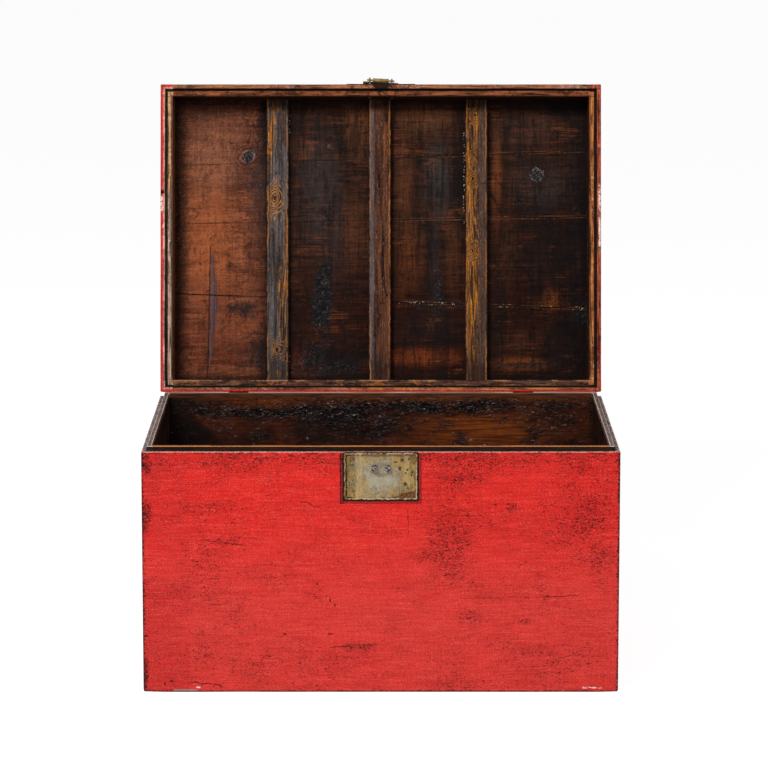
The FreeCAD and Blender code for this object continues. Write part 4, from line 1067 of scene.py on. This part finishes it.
def build_boards():
    """The eight boards of the carcass and of the lid, whose ends meet at the corners."""
    wide, lip, rim = HALF_WIDTH, HALF_WIDTH - LEDGE_WIDTH, HALF_WIDTH - LID_RIM_WIDTH
    for label, sign in (("front", -1), ("back", 1)):
        run = front_run(sign)
        bars = [(CARCASS_BODY, -wide, wide, run, 1.6), (CARCASS_LIP, -lip, lip, run, 1.1)]
        board(f"carcass_{label}", "chest", f"base_{label}_board", bars, carcass_face, False)
        bars = [(LID_BODY, -wide, wide, run, 1.4), (LID_CORNER, -wide, -rim, run, 0.8),
                (LID_CORNER, rim, wide, run, 0.8)]
        board(f"lid_{label}", "lid", f"lid_{label}_board", bars, lid_face, True, seed=5)
    wall, ledge = HALF_DEPTH - WALL, HALF_DEPTH - LEDGE_WIDTH
    lid_wall, rebate = HALF_DEPTH - LID_WALL, HALF_DEPTH - REBATE
    for label, sign in (("left", -1), ("right", 1)):
        run = side_run(sign)
        bars = [(CARCASS_BODY, -wall, wall, run, 1.6),
                (CARCASS_LIP, -wall - 0.2, wall + 0.2, run, 1.1),
                (CARCASS_FOOT, -ledge, -wall, run, 0.3), (CARCASS_FOOT, wall, ledge, run, 0.3)]
        board(f"carcass_{label}", "chest", f"base_{label}_board", bars, carcass_face, False)
        bars = [(LID_BODY, -lid_wall, lid_wall, run, 1.4),
                (LID_SEAT, -rebate, -lid_wall, run, 0.3), (LID_SEAT, lid_wall, rebate, run, 0.3)]
        board(f"lid_{label}", "lid", f"lid_{label}_board", bars, lid_face, True, seed=5)


class Shape(Nodes):
    """A Geometry Nodes tree in the making, with named inputs for what it is told."""

    def __init__(self, name, **sizes):
        super().__init__(bpy.data.node_groups.new(name, "GeometryNodeTree"))
        face = self.tree.interface
        face.new_socket("Geometry", in_out="OUTPUT", socket_type="NodeSocketGeometry")
        face.new_socket("Geometry", in_out="INPUT", socket_type="NodeSocketGeometry")
        face.new_socket("Finish", in_out="INPUT", socket_type="NodeSocketMaterial")
        for label, value in sizes.items():
            size = face.new_socket(label, in_out="INPUT", socket_type="NodeSocketFloat")
            size.default_value = value

    def given(self, label):
        return self.node("NodeGroupInput", out=label)

    def vector(self, **parts):
        return self.node("ShaderNodeCombineXYZ", **parts)

    def scaled(self, vector, amount):
        return self.node("ShaderNodeVectorMath", {"operation": "SCALE"}, vector, Scale=amount)

    def roughened(self, geometry, amount, scale):
        """Every point moved a little by a cloudy noise, so that no edge is quite straight."""
        place = self.node("GeometryNodeInputPosition")
        cloud = self.node("ShaderNodeTexNoise", {"noise_dimensions": "4D"}, out="Color",
                          Vector=place, W=self.given("Seed"), Scale=scale, Detail=2)
        push = self.scaled(self.moved(cloud, "SUBTRACT", (0.5,) * 3), amount)
        return self.node("GeometryNodeSetPosition", Geometry=geometry, Offset=push)

    def done(self, geometry):
        real = self.node("GeometryNodeRealizeInstances", None, geometry)
        dressed = self.node("GeometryNodeSetMaterial", Geometry=real,
                            Material=self.given("Finish"))
        self.node("NodeGroupOutput", None, dressed)
        return self.tree


def timber_tree():
    """A batten: a rounded section run along a line, with edges that wander a little."""
    strip = Shape("batten_strip", Width=0.046, Thickness=0.024, Length=0.579, Corner=0.002,
                  Wander=0.0006, Seed=0)
    end = strip.given("Length") * 0.5
    line = strip.node("GeometryNodeCurvePrimitiveLine", Start=strip.vector(Y=-end),
                      End=strip.vector(Y=end))
    divided = strip.node("GeometryNodeResampleCurve", Curve=line, Count=49)
    section = strip.node("GeometryNodeCurvePrimitiveQuadrilateral", Width=strip.given("Width"),
                         Height=strip.given("Thickness"))
    rounded = strip.node("GeometryNodeFilletCurve", {"mode": "POLY"}, Curve=section,
                         Radius=strip.given("Corner"), Count=3)
    swept = strip.node("GeometryNodeCurveToMesh", Curve=divided, Profile_Curve=rounded,
                       Fill_Caps=True)
    return strip.done(strip.roughened(swept, strip.given("Wander"), 22))


def nail_tree():
    """A hammered nail head on each of the given points, its dome along Y."""
    heads = Shape("nail_heads", Radius=0.0034, Height=0.0014, Dent=0.0005, Seed=0)
    dome = heads.node("GeometryNodeMeshUVSphere", Segments=14, Rings=8, Radius=1)
    radius = heads.given("Radius")
    size = heads.vector(X=radius, Y=heads.given("Height"), Z=radius)
    uneven = heads.node("FunctionNodeRandomValue", {"data_type": "FLOAT"}, None, None, 0.88, 1,
                        out=1, Seed=5)
    points = heads.node("GeometryNodeMeshToPoints", Mesh=heads.given("Geometry"))
    placed = heads.node("GeometryNodeInstanceOnPoints", Points=points, Instance=dome,
                        Scale=heads.scaled(size, uneven))
    real = heads.node("GeometryNodeRealizeInstances", None, placed)
    return heads.done(heads.roughened(real, heads.given("Dent"), 400))


def flake_tree():
    """Flakes of old glue scattered over the strips that it is given."""
    flakes = Shape("glue_flakes", Density=60000, Smallest=0.0005, Largest=0.0016)
    strewn = flakes.node("GeometryNodeDistributePointsOnFaces", Mesh=flakes.given("Geometry"),
                         Density=flakes.given("Density"), Seed=11)
    flake = flakes.node("GeometryNodeMeshIcoSphere", Radius=1, Subdivisions=1)
    small, large = flakes.given("Smallest"), flakes.given("Largest")
    vectors = {"data_type": "FLOAT_VECTOR"}
    least = flakes.vector(X=small, Y=small, Z=0.0003)
    most = flakes.vector(X=large, Y=large, Z=0.0009)
    scale = flakes.node("FunctionNodeRandomValue", vectors, least, most, Seed=12)
    turn = flakes.node("FunctionNodeRandomValue", vectors, (-0.4, -0.4, 0), (0.4, 0.4, 6.28),
                       Seed=13)
    return flakes.done(flakes.node("GeometryNodeInstanceOnPoints", Points=strewn, Instance=flake,
                                   Rotation=turn, Scale=scale))


def grow(name, tree, base=None, **inputs):
    """Run a node tree on a mesh, or on an empty one, and return the mesh that it makes."""
    holder = added(name, base or bpy.data.meshes.new(name))
    modifier = holder.modifiers.new("growth", "NODES")
    modifier.node_group = tree
    keys = {item.name: item.identifier for item in tree.interface.items_tree
            if item.in_out == "INPUT"}
    for label, value in inputs.items():
        modifier[keys[label]] = value
    graph = bpy.context.evaluated_depsgraph_get()
    mesh = bpy.data.meshes.new_from_object(holder.evaluated_get(graph), depsgraph=graph)
    holder.modifiers.remove(modifier)
    bpy.data.objects.remove(holder)
    mesh.name = name
    return mesh


def build_battens():
    """Three battens across the planks, each with its own wood."""
    tree = timber_tree()
    middle = (PANEL + BATTEN_FACE) / 2
    for side, place, *look in BATTENS:
        finish = rubbed_batten(f"batten_wood_{side}", place, *look)
        mesh = grow(f"batten_strip_{side}", tree, Seed=place * 0.01, Finish=finish)
        mesh.transform(SWING @ Matrix.Translation(Vector((place, 0, middle)) * MM))
        keep(f"batten_strip_{side}", mesh, "lid", "batten", f"batten_{side}")


def softened(name, node, body, slot, choose, bevel, on_lid=False):
    """A node's own shape with its sharp edges broken, and a finish chosen for each face."""
    work = bmesh.new()
    work.from_mesh(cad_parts[node].data)
    if on_lid:
        work.transform(SWING.inverted())
    bmesh.ops.remove_doubles(work, verts=work.verts, dist=1e-6)
    bmesh.ops.dissolve_limit(work, angle_limit=0.01, verts=work.verts, edges=work.edges)
    break_edges(work, work.edges, bevel)
    bmesh.ops.triangulate(work, faces=work.faces)
    mesh = bpy.data.meshes.new(name)
    dress_faces(work, mesh, choose)
    if on_lid:
        work.transform(SWING)
    work.to_mesh(mesh)
    work.free()
    keep(name, mesh, body, slot, node)


def build_lid_planks():
    """The planks of the lid, red above and bare below, and the old filler in their joints."""
    bare = smoked_planks()

    def plank_face(centre, normal):
        return lid_lacquer if centre.z > LID_TOP - 1.5 and normal.z > 0.3 else bare

    for number in range(1, 5):
        softened(f"lid_board_{number}", f"lid_plank_{number}", "lid", "bare_plank", plank_face,
                 0.25, on_lid=True)
    filler = plain_wood("joint_filler", (12, 7, 6), (30, 18, 14), on_lid=True)
    work = bmesh.new()
    for left, right in LID_JOINTS:
        corners = []
        for x, depth in ((-430, left), (430, right)):
            for aside in (-0.5, 0.5):
                for z in (PANEL + 1.2, LID_TOP - 1):
                    place = Vector((x, depth - HALF_DEPTH + aside, z)) * MM
                    corners.append(work.verts.new(place))
        a, b, c, d, e, f, g, i = corners
        for face in ((a, b, d, c), (e, g, i, f), (a, c, g, e), (b, f, i, d), (a, e, f, b),
                     (c, d, i, g)):
            work.faces.new(face)
    bmesh.ops.recalc_face_normals(work, faces=work.faces)
    work.transform(SWING)
    mesh = bpy.data.meshes.new("joint_filler")
    work.to_mesh(mesh)
    work.free()
    mesh.materials.append(filler)
    keep("joint_filler", mesh, "lid", "bare_plank")


def point_mesh(name, places):
    """A mesh of loose points, for heads to grow on."""
    mesh = bpy.data.meshes.new(name)
    mesh.from_pydata([Vector(place) * MM for place in places], [], [])
    return mesh


def build_nail_heads(finish):
    """The heads of the nails that hold the hinges, two rows of two on each leaf."""
    tree = nail_tree()
    for body, node, first, upwards in (("chest", "base_hinge_nails", 34, -1),
                                       ("lid", "lid_hinge_nails", 22, 1)):
        places = [(hinge + aside, LEAF_FACE, HINGE.z / MM + upwards * (first + row))
                  for hinge in HINGES for aside in (-12, 12) for row in (0, 18)]
        name = f"{body}_hinge_nail_heads"
        mesh = grow(name, tree, point_mesh(name, places), Seed=float(first), Finish=finish)
        if body == "lid":
            mesh.transform(SWING)
        keep(name, mesh, body, "hinge_iron", node)


def build_glue_flakes():
    """Old glue squeezed out beside the battens and along the open joint."""
    pale = plain_wood("old_glue", (150, 138, 126), (206, 198, 190), on_lid=True)
    left, right = LID_JOINTS[2]
    strips = [((172.2, 345), (172.2, 541), 3), ((-188.4, 528), (-188.4, 594), 1.6),
              ((-187.8, 52), (-187.8, 84), 1.6)]
    for start, end in ((46, 92), (120, 158), (402, 424)):
        depths = [2 * HALF_DEPTH - (left + right) / 2 - (right - left) * x / PLANK_SPAN
                  for x in (start, end)]
        strips.append(((start, depths[0]), (end, depths[1]), 2.4))
    mesh = bpy.data.meshes.new("glue_flakes")
    points, faces = [], []
    for start, end, width in strips:
        run = Vector((end[0] - start[0], end[1] - start[1])).normalized()
        aside = Vector((-run.y, run.x)) * width / 2
        corners = [(start[0] - aside.x, start[1] - aside.y), (end[0] - aside.x, end[1] - aside.y),
                   (end[0] + aside.x, end[1] + aside.y), (start[0] + aside.x, start[1] + aside.y)]
        faces.append([len(points) + index for index in range(4)])
        points += [Vector((x, HALF_DEPTH - h, PANEL)) * MM for x, h in corners]
    mesh.from_pydata(points, [], faces)
    flakes = grow("glue_flakes", flake_tree(), mesh, Finish=pale)
    flakes.transform(SWING)
    keep("glue_flakes", flakes, "lid", "bare_plank")


def dress_nodes(finish, *names):
    """Give CAD nodes a finish of their own."""
    for name in names:
        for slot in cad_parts[name].material_slots:
            slot.material = finish


def same(finish):
    """One finish for every face."""
    return lambda centre, normal: finish


noise.seed_set(11)                   # the boards' edges wander alike at every run
build_boards()
build_battens()
build_lid_planks()
floor_wood = plain_wood("floor_wood", (32, 17, 10), (64, 36, 20), dusty=0.06)
dress_nodes(floor_wood, *(f"bottom_plank_{number}" for number in range(1, 6)))
bamboo = plain_wood("bamboo", (120, 86, 52), (168, 130, 86))
dress_nodes(bamboo, "bottom_pegs", "batten_pegs")
dress_nodes(lid_lacquer, "lid_pegs")
iron = forged_iron("forged_iron", (38, 34, 32), (66, 60, 56))
dress_nodes(iron, "hinge_left_base_leaf", "hinge_left_pin", "hinge_right_base_leaf",
            "hinge_right_pin", "hinge_left_lid_leaf", "hinge_right_lid_leaf")
# the nail heads take a paler copy of the iron, painted lighter so that they show in the shade at
# the back
build_nail_heads(forged_iron("nail_iron", (74, 68, 64), (134, 126, 120)))
build_glue_flakes()
plate_brass = dull_brass("plate_brass", False, LOCK_PLATE_Z)
lid_plate_brass = dull_brass("lid_plate_brass", True, LID_PLATE_Z)
hasp_brass = dull_brass("hasp_brass", True)
staple_brass = dark_brass("staple_brass", False)
eye_brass = dark_brass("eye_brass", True)
softened("lock_plate_sheet", "lock_plate", "chest", "old_brass", same(plate_brass), 0.5)
softened("lid_plate_sheet", "lid_plate", "lid", "old_brass", same(lid_plate_brass), 0.5, True)
softened("hasp_sheet", "hasp_leaf", "hasp", "old_brass", same(hasp_brass), 0.4, True)
dress_nodes(plate_brass, "lock_plate_tacks")
dress_nodes(lid_plate_brass, "lid_plate_tacks")
dress_nodes(staple_brass, "staple_left", "staple_right")
dress_nodes(hasp_brass, "hasp_pin")
dress_nodes(eye_brass, "hasp_eye_left", "hasp_eye_right")


# --- floor, light and camera --------------------------------------------------------------------
FLOOR_REACH = 30
FLOOR_GLOW = 1.40
GLOW_SHARE = 0.65                    # how much of the floor's look is glow where it is seen
SOFT_LIGHT = 0.20
EYE = (0, -7.2785, 1.7517)
FOCAL_LENGTH = 176.9
PITCH = math.radians(80.553)         # 0 would look straight down
SIDE_SHIFT = 3.2 / 768
AIM = Vector((0, 0, 0.6))            # what the lamps look at
LAMPS = (
    # name, azimuth, elevation, distance, width, height, power
    ("key_light", -20, 33, 5, 1.3, 1, 200),
    ("fill_light", 34, 24, 5.5, 2.4, 2, 40),
    ("top_light", 0, 70, 4, 3, 3, 25),
)


def build_floor():
    """A pale floor that keeps a soft shadow and otherwise shows as white."""
    mesh = bpy.data.meshes.new("studio_floor")
    corners = [(-1, -1, 0), (1, -1, 0), (1, 1, 0), (-1, 1, 0)]
    mesh.from_pydata([Vector(corner) * FLOOR_REACH for corner in corners], [], [(0, 1, 2, 3)])
    floor = added("studio_floor", mesh)
    material = bpy.data.materials.new("studio_floor_paint")
    material.use_nodes = True
    nodes = Nodes(material.node_tree)
    paper = nodes.node("ShaderNodeBsdfDiffuse", Color=(0.82, 0.82, 0.82, 1))
    glow = nodes.node("ShaderNodeEmission", Strength=FLOOR_GLOW)
    share = nodes.seen_directly() * GLOW_SHARE
    lit = nodes.node("ShaderNodeMixShader", None, share, paper, glow)
    nodes.node("ShaderNodeOutputMaterial", None, lit)
    mesh.materials.append(material)


def build_world():
    """White where it is seen, and an even soft light on everything."""
    world = bpy.data.worlds.new("studio")
    world.use_nodes = True
    nodes = Nodes(world.node_tree)
    soft = nodes.node("ShaderNodeBackground", None, (1, 1, 1, 1), SOFT_LIGHT)
    white = nodes.node("ShaderNodeBackground", None, (1, 1, 1, 1), 1)
    seen = nodes.node("ShaderNodeMixShader", None, nodes.seen_directly(), soft, white)
    nodes.node("ShaderNodeOutputWorld", None, seen)
    bpy.context.scene.world = world


def softbox(name, azimuth, elevation, distance, across, up, power):
    """A studio light that looks at the trunk; azimuth 0 is straight in front, + to the right."""
    lamp = bpy.data.lights.new(name, "AREA")
    lamp.shape = "RECTANGLE"
    lamp.size = across
    lamp.size_y = up
    lamp.energy = power
    light = added(name, lamp)
    turn, lift = math.radians(azimuth), math.radians(elevation)
    away = Vector((math.sin(turn) * math.cos(lift), -math.cos(turn) * math.cos(lift),
                   math.sin(lift)))
    light.location = AIM + away * distance
    light.rotation_euler = away.to_track_quat("Z", "Y").to_euler()


def build_camera():
    """A long lens in front of the trunk at the height of the eye, looking a little down."""
    lens = bpy.data.cameras.new("view")
    lens.lens = FOCAL_LENGTH
    lens.sensor_width = 36
    lens.shift_x = SIDE_SHIFT
    camera = added("view", lens)
    camera.location = EYE
    camera.rotation_euler = Euler((PITCH, 0, 0))
    bpy.context.scene.camera = camera


build_floor()
build_world()
for lamp in LAMPS:
    softbox(*lamp)
build_camera()
bpy.context.scene.view_settings.view_transform = "Standard"
